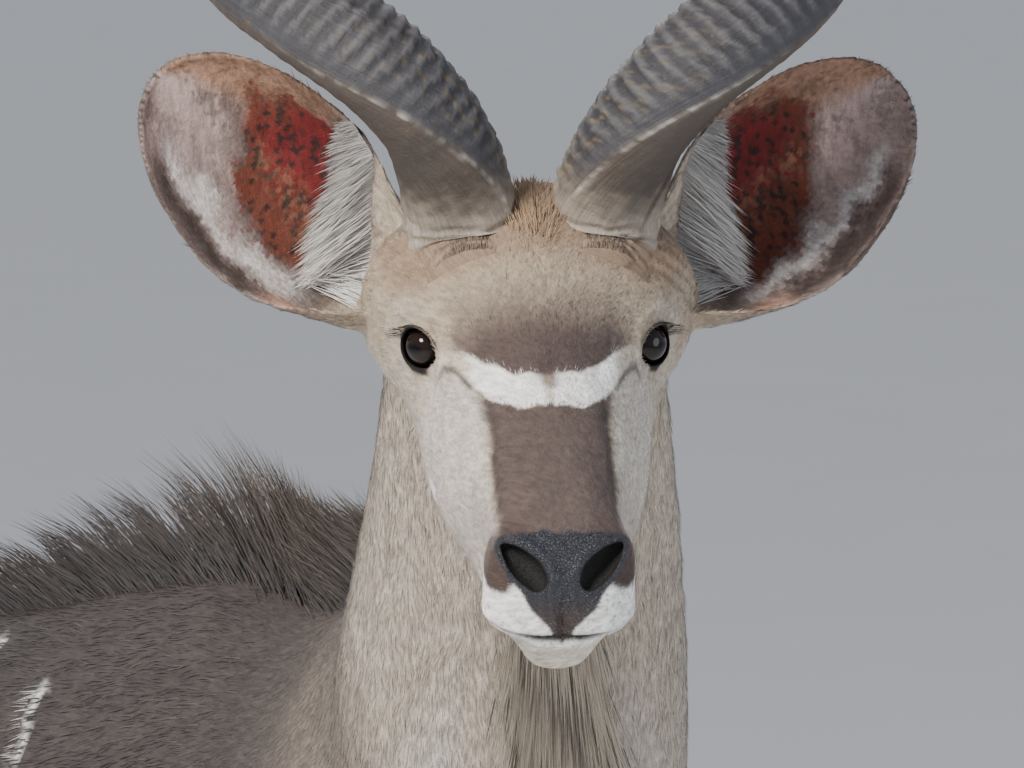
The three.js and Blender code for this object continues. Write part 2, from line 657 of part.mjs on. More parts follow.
function buildHead() {
  const lids = SIDES.map(([, side]) => sphere(eyeCentre(side), EYE_RADIUS + LID, 12));
  const skull = union([headShell(30, 22), ...lids]);
  const sockets = SIDES.map(([, side]) => sphere(eyeCentre(side), EYE_RADIUS + GAP, 12));
  const openings = SIDES.flatMap(([, side]) => [lidOpening(side), nostril(side)]);
  return { skull, head: largest(skull.subtract(union([...sockets, ...openings, mouthLine()]))) };
}

function build() {
  const solids = {};
  const { skull, head } = buildHead();
  const bare = trunk(38, 18);
  solids.head = head;
  for (const [name, side] of SIDES) {
    solids[`eye_${name}`] = sphere(eyeCentre(side), EYE_RADIUS, 12);
    solids[`horn_${name}`] = largest(clear(horn(side), [skull]));
    const raised = clear(ear(side), [bare], GAP * 3);
    solids[`ear_${name}`] = largest(clear(raised, [skull, solids[`horn_${name}`]]));
  }

  const thighs = [];
  for (const leg of LEGS) {
    const [lower, upper] = parted(legSolid(leg), leg.stations === FORELEG ? CUTS.elbow : CUTS.thigh);
    thighs.push(upper);
    solids[leg.name] = largest(clear(lower, [bare]));
    for (const [name, part] of SIDES) {
      solids[`hoof_${leg.name}_${name}`] = hoof(leg, part);
      solids[`dewclaw_${leg.name}_${name}`] = largest(clear(dewClaw(leg, part), [lower]));
    }
  }
  const [neck, torso] = parted(union([bare, ...thighs, ...crestLocks(), ...beardLocks()]), CUTS.shoulder);
  solids.neck = largest(clear(neck, [skull]));
  solids.torso = largest(torso);
  solids.tail = largest(clear(union([tail(), ...tailLocks()]), [bare]));
  return solids;
}

const MATERIALS = {
  head: { color: 0x9a8674, roughness: 0.9 },
  neck: { color: 0xa3968a, roughness: 0.92 },
  torso: { color: 0x8c8177, roughness: 0.92 },
  tail: { color: 0x7d6f62, roughness: 0.94 },
  foreleg: { color: 0xa07c5c, roughness: 0.9 },
  hindleg: { color: 0xa07c5c, roughness: 0.9 },
  ear: { color: 0xb8947c, roughness: 0.88 },
  horn: { color: 0x5e554c, roughness: 0.55 },
  eye: { color: 0x1a120c, roughness: 0.08 },
  hoof: { color: 0x2b2622, roughness: 0.5 },
  dewclaw: { color: 0x2b2622, roughness: 0.55 },
};

const group = new THREE.Group();
group.name = 'greater_kudu';
for (const [name, solid] of Object.entries(build())) {
  const material = new THREE.MeshStandardMaterial({ ...MATERIALS[name.split('_')[0]], metalness: 0 });
  const mesh = new THREE.Mesh(geometryOf(solid), material);
  mesh.name = name;
  group.add(mesh);
}

// The middle of the footprint becomes the origin.
const box = new THREE.Box3().setFromObject(group);
const middle = box.getCenter(vec(0, 0, 0));
for (const mesh of group.children) mesh.geometry.translate(-middle.x, -middle.y, -box.min.z);

export default group;
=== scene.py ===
"""A greater kudu bull at life size: one skin, its coat, and its horns, eyes and hooves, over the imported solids.

Shapes are worked out in millimetres in the animal's working frame: +X is its left, -Y is forward, +Z is up and
the origin lies on the ground under the withers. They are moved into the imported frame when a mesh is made.
"""

from __future__ import annotations

import logging
import math
from dataclasses import dataclass, field
from enum import Enum
from typing import Callable

import bmesh
import bpy
import numpy as np
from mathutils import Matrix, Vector
from mathutils.kdtree import KDTree

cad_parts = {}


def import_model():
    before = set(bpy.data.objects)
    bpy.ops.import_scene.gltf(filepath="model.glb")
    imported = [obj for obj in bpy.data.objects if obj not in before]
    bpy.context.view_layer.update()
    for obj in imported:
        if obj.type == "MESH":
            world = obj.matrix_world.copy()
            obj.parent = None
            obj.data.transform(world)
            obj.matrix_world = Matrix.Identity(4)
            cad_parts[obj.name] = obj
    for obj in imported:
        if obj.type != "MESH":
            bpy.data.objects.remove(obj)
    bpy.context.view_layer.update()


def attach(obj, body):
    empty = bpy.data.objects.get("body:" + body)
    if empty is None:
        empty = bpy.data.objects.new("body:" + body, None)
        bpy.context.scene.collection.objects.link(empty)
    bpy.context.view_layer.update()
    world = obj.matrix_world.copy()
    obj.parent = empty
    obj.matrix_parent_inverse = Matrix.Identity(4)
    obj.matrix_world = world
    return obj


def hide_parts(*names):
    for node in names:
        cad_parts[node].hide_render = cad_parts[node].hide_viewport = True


logging.basicConfig(level=logging.INFO, format="%(message)s")
log = logging.getLogger("kudu")

Array = np.ndarray
Triple = tuple[float, float, float]
Material, Mesh, Node, Thing = bpy.types.Material, bpy.types.Mesh, bpy.types.Node, bpy.types.Object
METRE = 1000.0
SIDES = (("left", 1.0), ("right", -1.0))
NECK_END = 0.985  # how far along the trunk its coat's rings reach


# Numbers and curves


def smooth(low: float, high: float, x: Array) -> Array:
    """An eased step from 0 at low to 1 at high."""
    t = np.clip((np.asarray(x, float) - low) / (high - low), 0.0, 1.0)
    return t * t * (3.0 - 2.0 * t)


def fade(low: float, high: float, x: Array) -> Array:
    """An eased step from 1 at low to 0 at high."""
    return 1 - smooth(low, high, x)


def hill(x: Array, middle: float, reach: float) -> Array:
    """A bell of height 1 round middle."""
    return np.exp(-0.5 * ((np.asarray(x, float) - middle) / reach) ** 2)


def unit(v: Array) -> Array:
    """Vectors at length one."""
    v = np.asarray(v, float)
    return v / np.maximum(np.linalg.norm(v, axis=-1, keepdims=True), 1e-9)


def spline(table: Array, t: Array) -> Array:
    """A smooth curve through evenly spaced rows of numbers.

    Args:
        table: The rows, one per station.
        t: Places along the table, from 0 to 1.

    Returns:
        One row for each place.
    """
    t = np.atleast_1d(np.asarray(t, float))
    last = len(table) - 1
    i = np.clip((t * last).astype(int), 0, last - 1)
    u = (t * last - i)[:, None]
    p, a, b, n = (table[np.clip(i + k, 0, last)] for k in (-1, 0, 1, 2))
    return a + 0.5 * u * (b - p + u * (2 * p - 5 * a + 4 * b - n + u * (3 * (a - b) + n - p)))


def columns(*values: Array | float) -> Array:
    """Numbers set side by side along a last axis, single ones repeated to fit."""
    return np.stack(np.broadcast_arrays(*values), -1)


def across_to(vectors: Array, axis: Array) -> Array:
    """The part of the vectors that is square to the axis, at length one."""
    axis = unit(axis)
    return unit(vectors - np.sum(vectors * axis, -1, keepdims=True) * axis)


def waves(points: Array, size: float, seed: int) -> Array:
    """A smooth patchy pattern between about -1 and 1.

    Args:
        points: Where it is read, in millimetres.
        size: The rough size of a patch.
        seed: Chooses the pattern.

    Returns:
        One value for each point.
    """
    draw = np.random.default_rng(seed)
    total = np.zeros(len(points))
    for _ in range(7):
        way = unit(draw.normal(size=3)) * (2 * math.pi / size) * draw.uniform(0.6, 1.6)
        total += np.sin(points @ way + draw.uniform(0, 2 * math.pi))
    return total / 3.2


# Meshes as plain arrays


@dataclass
class Shell:
    """Points and faces, the faces as rows of three or four places in the points."""

    points: Array
    faces: list[Array]

    def joined(self, *others: Shell) -> Shell:
        """This shell and the others as one.

        Args:
            others: The shells to add.

        Returns:
            One shell with all points and faces.
        """
        points, faces, start = [], [], 0
        for one in (self, *others):
            points.append(one.points)
            faces.extend(rows + start for rows in one.faces)
            start += len(one.points)
        return Shell(np.concatenate(points), faces)

    def triangles(self) -> Array:
        """All faces, cut into triangles."""
        rows = [f if f.shape[1] == 3 else np.concatenate([f[:, [0, 1, 2]], f[:, [0, 2, 3]]]) for f in self.faces]
        return np.concatenate(rows)

    def outward(self) -> Shell:
        """The same closed shell with its faces pointing out."""
        a, b, c = (self.points[self.triangles()[:, k]] for k in range(3))
        return Shell(self.points, [rows[:, ::-1] for rows in self.faces]) if np.sum(a * np.cross(b, c)) < 0 else self

    def sunk(self, depth: Array | float) -> Shell:
        """The same shell, its points moved in along their normals."""
        return Shell(self.points - self.normals() * depth, self.faces)

    def normals(self) -> Array:
        """A normal at each point.

        Returns:
            A unit vector for each point.
        """
        tri = self.triangles()
        a, b, c = (self.points[tri[:, k]] for k in range(3))
        out = np.cross(b - a, c - a)
        total = np.zeros_like(self.points)
        for k in range(3):
            for axis in range(3):
                total[:, axis] += np.bincount(tri[:, k], out[:, axis], len(self.points))
        return unit(total)


def tube(grid: Array) -> Shell:
    """A closed shell through rings of points, with a fan at each end.

    Args:
        grid: Ring by point by coordinate.

    Returns:
        The shell, faces outwards.
    """
    rings, sides = grid.shape[:2]
    points = np.concatenate([grid.reshape(-1, 3), grid[0].mean(0)[None], grid[-1].mean(0)[None]])
    r, c = np.meshgrid(np.arange(rings - 1), np.arange(sides), indexing="ij")
    a, b = (r * sides + c).ravel(), (r * sides + (c + 1) % sides).ravel()
    quads = np.stack([a, b, b + sides, a + sides], 1)
    around = np.arange(sides)
    start, end, last = rings * sides, rings * sides + 1, (rings - 1) * sides
    first_fan = np.stack([np.full(sides, start), (around + 1) % sides, around], 1)
    last_fan = np.stack([np.full(sides, end), last + around, last + (around + 1) % sides], 1)
    return Shell(points, [quads, np.concatenate([first_fan, last_fan])]).outward()


def ovals(centre: Array, up: Array, down: Array, side: Array, sides: int, square: Array,
          low: Array | float = 2.0) -> Array:
    """Rings with their own reach up, down and sideways.

    Args:
        centre: The middle of each ring at its widest level.
        up: From the middle to the top.
        down: From the middle to the lowest point.
        side: From the middle to the side.
        sides: Points to a ring.
        square: 2 for an ellipse above the middle, more for a squarer one.
        low: The same below the middle.

    Returns:
        Ring by point by coordinate.
    """
    angle = np.arange(sides) * 2 * math.pi / sides
    sin, cos = np.sin(angle)[None], np.cos(angle)[None]
    power = 2.0 / np.where(sin >= 0, *(np.asarray(v, float).reshape(-1, 1) for v in (square, low)))
    lift, wide = (np.sign(v) * np.abs(v) ** power for v in (sin, cos))
    rise = np.where(lift[..., None] >= 0, up[:, None], down[:, None]) * np.abs(lift)[..., None]
    return centre[:, None] + side[:, None] * wide[..., None] + rise


def ball(centre: Array, radius: float, rings: int = 24) -> Shell:
    """A closed sphere.

    Args:
        centre: Its middle.
        radius: Its radius.
        rings: Rings from pole to pole.

    Returns:
        The shell.
    """
    polar = np.linspace(0.02, math.pi - 0.02, rings)
    angle = np.arange(rings * 2) * math.pi / rings
    grid = np.stack([np.sin(polar)[:, None] * np.cos(angle), np.sin(polar)[:, None] * np.sin(angle),
                     np.cos(polar)[:, None] * np.ones_like(angle)], -1)
    return tube(centre + radius * grid)


# The animal's frame and the forms of its body


@dataclass(frozen=True)
class HeadFrame:
    """Where the head is: its middle between the eyes, its turn and the drop of its face line."""

    eyes: Triple = (-226.0, -552.0, 1643.0)
    turn: float = 40.0
    drop: float = 33.0

    def axes(self) -> Array:
        """The head's left, forward and up as rows.

        Returns:
            Three unit vectors.
        """
        turn, drop = math.radians(self.turn), math.radians(self.drop)
        facing = np.array([-math.sin(turn), -math.cos(turn), 0.0])
        up = np.array([0.0, 0.0, 1.0])
        left = np.array([math.cos(turn), -math.sin(turn), 0.0])
        return np.array([left, facing * math.cos(drop) - up * math.sin(drop),
                         facing * math.sin(drop) + up * math.cos(drop)])

    def vector(self, left: float, forward: float, up: float) -> Array:
        """A direction given along the head's own axes."""
        return np.array([left, forward, up], float) @ self.axes()

    def points(self, local: Array) -> Array:
        """Places given from the point between the eyes."""
        return np.asarray(local, float) @ self.axes() + np.array(self.eyes)

    def local(self, points: Array) -> Array:
        """Left, forward and up of places in the working frame."""
        return (points - np.array(self.eyes)) @ self.axes().T


HEAD = HeadFrame()


@dataclass
class Skull:
    """The head: rings from behind the jaw to the nose, with soft rises and hollows over them."""

    rings: int = 150
    sides: int = 160
    stations: Array = field(default_factory=lambda: np.array([
        (-168, 14, -60, 60, -20, 2.0, 1.9), (-145, 42, -95, 86, -15, 2.1, 1.9), (-105, 69, -124, 100, -12, 2.2, 2.0),
        (-60, 82, -142, 104, -12, 2.3, 2.1), (-15, 76, -146, 98, -20, 2.3, 2.3), (30, 61, -138, 92, -42, 2.1, 2.6),
        (75, 51, -126, 86, -56, 1.9, 2.8), (120, 45, -114, 77, -56, 1.9, 2.8), (165, 40, -103, 66, -48, 2.1, 2.6),
        (210, 35, -102, 57, -38, 2.4, 2.2), (245, 28, -104, 56, -34, 2.4, 1.9), (268, 14, -97, 50, -34, 2.3, 1.9),
        (283, -4, -74, 38, -36, 2.2, 1.9), (290, -20, -56, 18, -38, 2.0, 1.9)], float))
    forms: Array = field(default_factory=lambda: np.array([
        (88, -4, 20, 22, 6), (74, 34, -6, 20, -6), (92, -60, -70, 42, 3), (106, -72, 4, 34, 24),
        (100, -50, -44, 28, 15), (36, 130, 36, 20, 4), (44, 246, 4, 17, 8), (40, 262, -44, 17, 7),
        (0, -40, 84, 26, 4), (56, 192, -30, 20, -7)], float))

    def local_rings(self) -> tuple[Array, Array]:
        """The rings from the point between the eyes, and the level of each.

        Returns:
            Ring by point by coordinate, and one level for each ring.
        """
        forward, top, low, wide, level, square, under = spline(self.stations, np.linspace(0, 1, self.rings)).T
        flat = ovals(columns(0, forward, level), columns(0, 0, top - level), columns(0, 0, low - level),
                     columns(wide, 0, 0), self.sides, square, under)
        return flat, level

    def rise(self, local: Array) -> Array:
        """How far the soft forms lift the surface at places on the head.

        Args:
            local: Places from the point between the eyes.

        Returns:
            A height for each place.
        """
        total = np.zeros(local.shape[:-1])
        for left, forward, up, reach, height in self.forms:
            for side in ((1, -1) if left else (1,)):
                far = np.linalg.norm(local - np.array([side * left, forward, up]), axis=-1)
                total += height * np.exp(-0.5 * (far / reach) ** 2)
        return total

    def shell(self, depth: float) -> Shell:
        """The head's shell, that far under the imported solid.

        Args:
            depth: How far under.

        Returns:
            The shell.
        """
        local, level = self.local_rings()
        out = local.copy()
        out[..., 1] = 0
        out[..., 2] -= level[:, None]
        local = local + unit(out) * self.rise(local)[..., None]
        return tube(HEAD.points(local)).sunk(depth)


@dataclass
class Trunk:
    """The body and neck: rings from the rump to behind the jaw."""

    sides: int = 128
    stations: Array = field(default_factory=lambda: np.array([
        (0, 1052, 1150, 0, 1052, 1010, 60, 0.5, 0, 2), (0, 1030, 1206, 0, 1030, 930, 118, 0.5, 0, 2),
        (0, 950, 1268, 0, 950, 872, 172, 0.46, 0, 2), (0, 820, 1308, 0, 820, 842, 202, 0.44, 0, 2),
        (0, 660, 1316, 0, 660, 812, 214, 0.5, 0, 1.9), (0, 480, 1308, 0, 480, 772, 228, 0.56, 0, 1.85),
        (0, 300, 1318, 0, 300, 748, 230, 0.58, 0, 1.75), (0, 140, 1358, 0, 140, 742, 216, 0.58, 0, 1.6),
        (0, 0, 1385, 0, 0, 748, 200, 0.56, 0, 1.55), (0, -95, 1372, 0, -150, 770, 190, 0.55, 0, 1.6),
        (-9.75, -155.73, 1386.61, -4.43, -274.05, 842.3, 177.56, 0.54, 4.16, 1.74),
        (-24.31, -216.74, 1415.94, -21.17, -376.29, 958.52, 154.44, 0.53, 14.08, 1.96),
        (-48.09, -278.53, 1473.5, -62.21, -435.71, 1161.56, 142, 0.52, 25.92, 2),
        (-97.75, -371.26, 1597.71, -113.14, -469.4, 1363.48, 127, 0.51, 35.84, 2),
        (-167.92, -482.78, 1753, -170.62, -486, 1565.41, 112, 0.5, 40, 2)], float))

    def frames(self, t: Array) -> dict[str, Array]:
        """The top, lowest, middle and side reach of the rings at places from the rump (0) to the head (1).

        Args:
            t: The places.

        Returns:
            Rows of each by name.
        """
        s = spline(self.stations, t)
        top, low = s[:, 0:3], s[:, 3:6]
        turn = np.radians(s[:, 8])
        side = columns(np.cos(turn), -np.sin(turn), 0) * s[:, 6:7]
        return {"top": top, "low": low, "middle": top + (low - top) * s[:, 7:8], "side": side, "square": s[:, 9]}

    def grid(self, t: Array, sides: int) -> Array:
        """The rings at places along the trunk."""
        f = self.frames(t)
        return ovals(f["middle"], f["top"] - f["middle"], f["low"] - f["middle"], f["side"], sides, f["square"])

    def shell(self, depth: float, first: float = 0.0, last: float = 1.0, rings: int = 260) -> Shell:
        """The shell of a length of the trunk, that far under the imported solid."""
        return tube(self.grid(np.linspace(first, last, rings), self.sides)).sunk(depth)


@dataclass
class Leg:
    """One leg: level rings from the shoulder or hip to the top of the hoof."""

    name: str
    side: float
    step: float
    stations: Array
    sides: int = 72
    rings: int = 220

    @property
    def part(self) -> Part:
        """The leg's part of the skin."""
        return Part[self.name.upper()]

    def swing(self, z: Array) -> Array:
        """How far back a level of the leg is from where it hangs."""
        return self.step * (1 - z / self.stations[0][0])

    def grid(self, t: Array, sides: int) -> Array:
        """The leg's rings at places from its top (0) to its hoof (1).

        Args:
            t: The places.
            sides: Points to a ring.

        Returns:
            Ring by point by coordinate.
        """
        z, y, x, deep, wide = spline(self.stations, t).T
        return ovals(columns(self.side * x, y + self.swing(z), z), columns(0, deep, 0), columns(0, -deep, 0),
                     columns(wide, 0, 0), sides, np.full(len(t), 2.0))

    def shell(self, depth: float) -> Shell:
        """The leg's shell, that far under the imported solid."""
        return tube(self.grid(np.linspace(0, 1, self.rings), self.sides)).sunk(depth)


FORELEG = np.array([
    (1180, -40, 105, 80, 40), (1050, -60, 128, 118, 58), (900, -40, 138, 106, 60), (800, -2, 134, 80, 50),
    (710, 4, 125, 57, 41), (600, -6, 117, 42, 34), (505, -12, 113, 33, 29), (445, -20, 111, 35, 32),
    (400, -18, 110, 27, 26), (310, -18, 109, 21, 19), (215, -18, 109, 22, 21), (158, -26, 109, 29, 27),
    (108, -42, 109, 23, 24), (72, -54, 109, 30, 31), (58, -58, 109, 32, 32)], float)
HIND_LEG = np.array([
    (1235, 860, 90, 90, 50), (1130, 865, 108, 160, 88), (1000, 850, 116, 178, 88), (885, 830, 122, 142, 74),
    (790, 842, 120, 92, 56), (710, 880, 116, 64, 42), (640, 918, 113, 50, 34), (590, 940, 111, 52, 33),
    (535, 938, 110, 38, 30), (460, 930, 110, 27, 23), (330, 926, 110, 23, 20), (225, 922, 110, 24, 22),
    (165, 912, 110, 31, 28), (112, 892, 110, 24, 25), (74, 876, 110, 31, 32), (58, 872, 110, 33, 33)], float)
LEGS = (
    Leg("foreleg_left", 1, -46, FORELEG), Leg("foreleg_right", -1, 38, FORELEG),
    Leg("hindleg_left", 1, 62, HIND_LEG), Leg("hindleg_right", -1, -58, HIND_LEG),
)


@dataclass
class Tail:
    """The tail's root and dock, a tapering tube that hangs from the rump."""

    path: Array = field(default_factory=lambda: np.array([
        (0, 985, 1180), (0, 1020, 1180), (0, 1053, 1176), (0, 1077, 1151), (0, 1092, 1111), (0, 1103, 1064),
        (0, 1105, 1006), (0, 1104, 943), (0, 1099, 872), (0, 1094, 800)], float))

    def shell(self, depth: float) -> Shell:
        """The tail's shell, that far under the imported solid.

        Args:
            depth: How far under.

        Returns:
            The shell.
        """
        t = np.linspace(0, 1, 120)
        centre = spline(self.path, t)
        along = unit(np.gradient(centre, axis=0))
        radius = 30 - 13 * smooth(0, 0.4, t) - 5 * t - depth
        side = np.array([1.0, 0, 0]) * radius[:, None] * 1.15
        back = unit(np.cross([1.0, 0, 0], along)) * radius[:, None]
        return tube(ovals(centre, back, -back, side, 40, np.full(len(t), 2.0)))


@dataclass
class Ear:
    """One ear: a cup of skin, nearly a tube at its root and open like a leaf towards its tip."""

    side: float
    length: float = 250.0
    rise: tuple[float, float] = (43.5, 47.0)
    half_width: float = 81.0
    stalk: float = 25.0
    thick: float = 4.5

    def axes(self) -> tuple[Array, Array, Array]:
        """Along the ear, out of its opening, and across it.

        Returns:
            Three unit vectors.
        """
        rise = math.radians(self.rise[0 if self.side > 0 else 1])
        along = HEAD.vector(self.side * math.cos(rise), -0.656 * math.sin(rise), 0.755 * math.sin(rise))
        opening = across_to(HEAD.vector(0, 0.755, 0.656), along)
        return along, opening, np.cross(along, opening)

    def points(self, s: Array, t: Array, inset: Array) -> Array:
        """Places on the ear.

        Args:
            s: From the root (0) to the tip (1).
            t: From one rim (-1) to the other (1).
            inset: How far inside the outer skin.

        Returns:
            The places.
        """
        along, opening, across = self.axes()
        wide = 0.45
        low = self.stalk + (self.half_width - self.stalk) * np.sin(math.pi / 2 * np.minimum(s / wide, 1))
        high = self.half_width * np.sqrt(np.maximum(1 - ((s - wide) / (1 - wide)) ** 2, 0.003))
        half = np.where(s < wide, low, high)
        curl = np.radians(160 - 72 * smooth(0, 0.3, s) - 30 * smooth(0.2, 1, s))
        radius = half / np.where(curl < math.pi / 2, np.sin(curl), 1)
        back = -self.stalk - 16 * np.sin(math.pi * np.minimum(s * 1.15, 1))
        sunk = fade(0, 0.28, s)[..., None]
        root = HEAD.points([self.side * 114, -84, -30]) + sunk * HEAD.vector(self.side * -32, 4, -12)
        angle = curl * t
        reach = self.length * s - inset * smooth(0.8, 1, s)
        return (root + along * reach[..., None]
                + across * (self.side * (radius - inset) * np.sin(angle))[..., None]
                + opening * (back + radius - (radius - inset) * np.cos(angle))[..., None])

    def shell(self, depth: float, rows: int = 90, columns: int = 72) -> Shell:
        """The ear's closed shell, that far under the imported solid.

        Args:
            depth: How much thinner the ear is on each face.
            rows: Steps from the root to the tip.
            columns: Steps from rim to rim.

        Returns:
            The shell, faces outwards.
        """
        s = np.sin(math.pi / 2 * np.linspace(0, 1, rows + 1))[:, None] * np.ones(columns + 1)
        t = np.linspace(-1, 1, columns + 1) * np.ones((rows + 1, 1))
        outer = self.points(s, t * 0.99, np.full(s.shape, depth))
        inner = self.points(s, t * 0.985, np.full(s.shape, self.thick - depth))
        grid = np.concatenate([outer, inner[:, ::-1]], axis=1)
        return tube(grid)


def eyeball_at(sign: float) -> Array:
    """The middle of an eyeball."""
    return HEAD.points([sign * 82, 0, -2])


def from_lids(local: Array, sign: float) -> Array:
    """Places on the head, given from the middle of the lids' opening."""
    return local - np.array([sign * 84, 2, -2])


def mouth_level(forward: Array) -> Array:
    """The height of the line of the mouth."""
    return np.interp(forward, [150, 172, 190, 235, 272, 320], [-53, -55, -58, -58, -46, -44])


def eye_axes(sign: float) -> tuple[Array, Array, Array]:
    """Out of an eye, along its lids from the outer corner to the inner, and across them upwards.

    Args:
        sign: 1 for left, -1 for right.

    Returns:
        Three unit vectors.
    """
    out = unit(HEAD.vector(sign * 0.66, 0.66, 0.36))
    along = across_to(HEAD.vector(sign * -0.75, 0.62, 0.0), out)
    above = np.cross(out, along)
    return out, along, above if above @ HEAD.vector(0, 0, 1) > 0 else -above


# Where a place on the skin lies on the animal


class Part(Enum):
    """The parts of the skin, each with its own rectangle (left, low, width, height) in the coat's unwrap."""

    TRUNK = (0.01, 0.01, 0.48, 0.48)
    HEAD = (0.51, 0.01, 0.48, 0.48)
    FORELEG_LEFT = (0.01, 0.51, 0.13, 0.48)
    FORELEG_RIGHT = (0.15, 0.51, 0.13, 0.48)
    HINDLEG_LEFT = (0.29, 0.51, 0.13, 0.48)
    HINDLEG_RIGHT = (0.43, 0.51, 0.13, 0.48)
    TAIL = (0.57, 0.51, 0.06, 0.48)
    EAR_LEFT = (0.64, 0.51, 0.17, 0.48)
    EAR_RIGHT = (0.82, 0.51, 0.17, 0.48)


PARTS = list(Part)
NOSTRIL = np.array([(20, 274, 0, 8.5), (24, 270, 4, 10.5), (30, 264, 7, 10.5), (36, 257, 10, 8.5), (42, 250, 12, 5.0)])


@dataclass
class Atlas:
    """Sample places all over the animal, each with its part, how far round it is and how far along."""

    skull: Skull
    trunk: Trunk
    tail: Tail
    ears: list[Ear]

    def samples(self) -> tuple[Array, Array, Array]:
        """The places, the part of each and its two shares (round, along).

        Returns:
            The places, the number of each one's part, and the shares.
        """
        rows = [(HEAD.points(self.skull.local_rings()[0])[::2, ::2], Part.HEAD),
                (self.trunk.grid(np.linspace(0, NECK_END, 130), 80), Part.TRUNK)]
        rows += [(leg.grid(np.linspace(0.1, 1, 120), 36), leg.part) for leg in LEGS]
        rows.append((self.tail.shell(0).points[:-2].reshape(120, 40, 3)[12:], Part.TAIL))
        s, t = np.linspace(0.1, 1, 60)[:, None], np.linspace(-1, 1, 41)[None, :]
        for ear, part in zip(self.ears, (Part.EAR_LEFT, Part.EAR_RIGHT)):
            s2, t2 = s + 0 * t, t + 0 * s
            both = [ear.points(s2, t2, np.full(s2.shape, inset)) for inset in (0.0, ear.thick)]
            rows.append((np.concatenate([both[0], both[1][:, ::-1]], 1), part))
        places, parts, shares = [], [], []
        for grid, part in rows:
            along, round_ = np.meshgrid(np.linspace(0, 1, grid.shape[0]), np.arange(grid.shape[1]) / grid.shape[1],
                                        indexing="ij")
            places.append(grid.reshape(-1, 3))
            parts.append(np.full(along.size, PARTS.index(part)))
            shares.append(np.stack([round_.ravel(), along.ravel()], 1))
        return np.concatenate(places), np.concatenate(parts), np.concatenate(shares)

    def find(self, points: Array) -> tuple[Array, Array]:
        """The part of each point and its two shares.

        Args:
            points: The places.

        Returns:
            The number of each point's part, and the shares.
        """
        places, parts, shares = self.samples()
        tree = KDTree(len(places))
        for i, place in enumerate(places.tolist()):
            tree.insert(place, i)
        tree.balance()
        nearest = np.fromiter((tree.find(p)[1] for p in points.tolist()), int, len(points))
        return parts[nearest], shares[nearest]


def on_head(points: Array, parts: Array, shares: Array) -> Array:
    """How far places on the skin belong to the head and not to the neck, from 0 to 1.

    Args:
        points: The places.
        parts: The part of each.
        shares: How far round and along each is.

    Returns:
        A share for each place.
    """
    near = HEAD.local(points)
    joint = smooth(0.84, 0.9, shares[:, 1]) * (parts == PARTS.index(Part.TRUNK))
    return smooth(-190, -110, near[:, 1] - 0.3 * near[:, 2]) * np.maximum(joint, parts == PARTS.index(Part.HEAD))


def nostril_gap(local: Array) -> Array:
    """How far places on the head are outside the walls of the nearer nostril.

    Args:
        local: Places from the point between the eyes.

    Returns:
        A distance for each place, below 0 inside.
    """
    near = np.concatenate([np.abs(local[:, :1]), local[:, 1:]], 1)
    path = spline(NOSTRIL, np.linspace(0, 1, 14))
    return np.min([np.linalg.norm(near - row[:3], axis=1) - row[3] for row in path], axis=0)


def spot_on(part: Part, round_: Array | float, along: Array | float) -> Array:
    """Places in the coat's unwrap on one part."""
    shares = columns(round_, along)
    return atlas_place(np.full(len(shares), PARTS.index(part)), shares)


def atlas_place(parts: Array, shares: Array) -> Array:
    """Where places on the skin lie in the coat's unwrap."""
    boxes = np.array([part.value for part in PARTS])[parts]
    return boxes[:, :2] + shares * boxes[:, 2:]


# Markings


def paint(red: int, green: int, blue: int) -> Array:
    """A colour as the shader wants it, from the everyday 0 to 255 scale."""
    c = np.array([red, green, blue]) / 255.0
    return np.where(c <= 0.04045, c / 12.92, ((c + 0.055) / 1.055) ** 2.4)


class Hue:
    """The colours of the animal's coat and bare skin, some with painted shade in them."""

    # GREY and SHADE, the body's coat, are partly its own dark grey and partly painted shade of a body lying in shadow
    GREY = paint(72, 65, 64)
    SHADE = paint(52, 46, 46)
    BELLY = paint(84, 74, 68)
    NECK = paint(136, 124, 113)
    FACE = paint(166, 150, 131)
    FOREHEAD = paint(144, 122, 102)
    TEMPLE = paint(72, 58, 56)
    BRIDGE = paint(84, 71, 66)
    CHEEK = paint(198, 189, 178)
    JOWL = paint(166, 157, 150)
    WHITE = paint(246, 245, 242)
    MUZZLE = paint(70, 55, 50)
    NOSE = paint(42, 44, 52)
    CHIN = paint(208, 198, 180)
    DARK = paint(20, 16, 15)
    NOSTRIL_SHADE = paint(5, 4, 4)
    CREST = paint(44, 31, 25)
    CREST_TIP = paint(150, 130, 110)
    EAR_BACK = paint(138, 124, 112)
    EAR_RED = paint(102, 20, 22)
    EAR_RUST = paint(98, 46, 32)
    EAR_TAN = paint(150, 116, 96)
    EAR_PALE = paint(160, 140, 136)
    EAR_PINK = paint(214, 170, 148)
    CREAM = paint(196, 184, 166)
    TAN = paint(172, 140, 108)
    CINNAMON = paint(150, 104, 70)
    GARTER = paint(56, 44, 38)
    BLACK = paint(26, 23, 22)


def ear_edge(s: Array) -> Array:
    """Where the thick fur at an ear's root ends, from rim (-1) to rim (1), for places along the ear."""
    return np.interp(s, [0, 0.1, 0.13, 0.2, 0.3, 0.35, 0.42, 0.5], [0.6, 0.2, 0, -0.33, -0.78, -0.96, -1.0, -1.2])


def blend(base: Array, colour: Array, share: Array) -> Array:
    """The base, one colour or a row for each place, painted over with a colour where the share is high."""
    s = np.clip(share, 0, 1)[:, None]
    return base * (1 - s) + colour * s


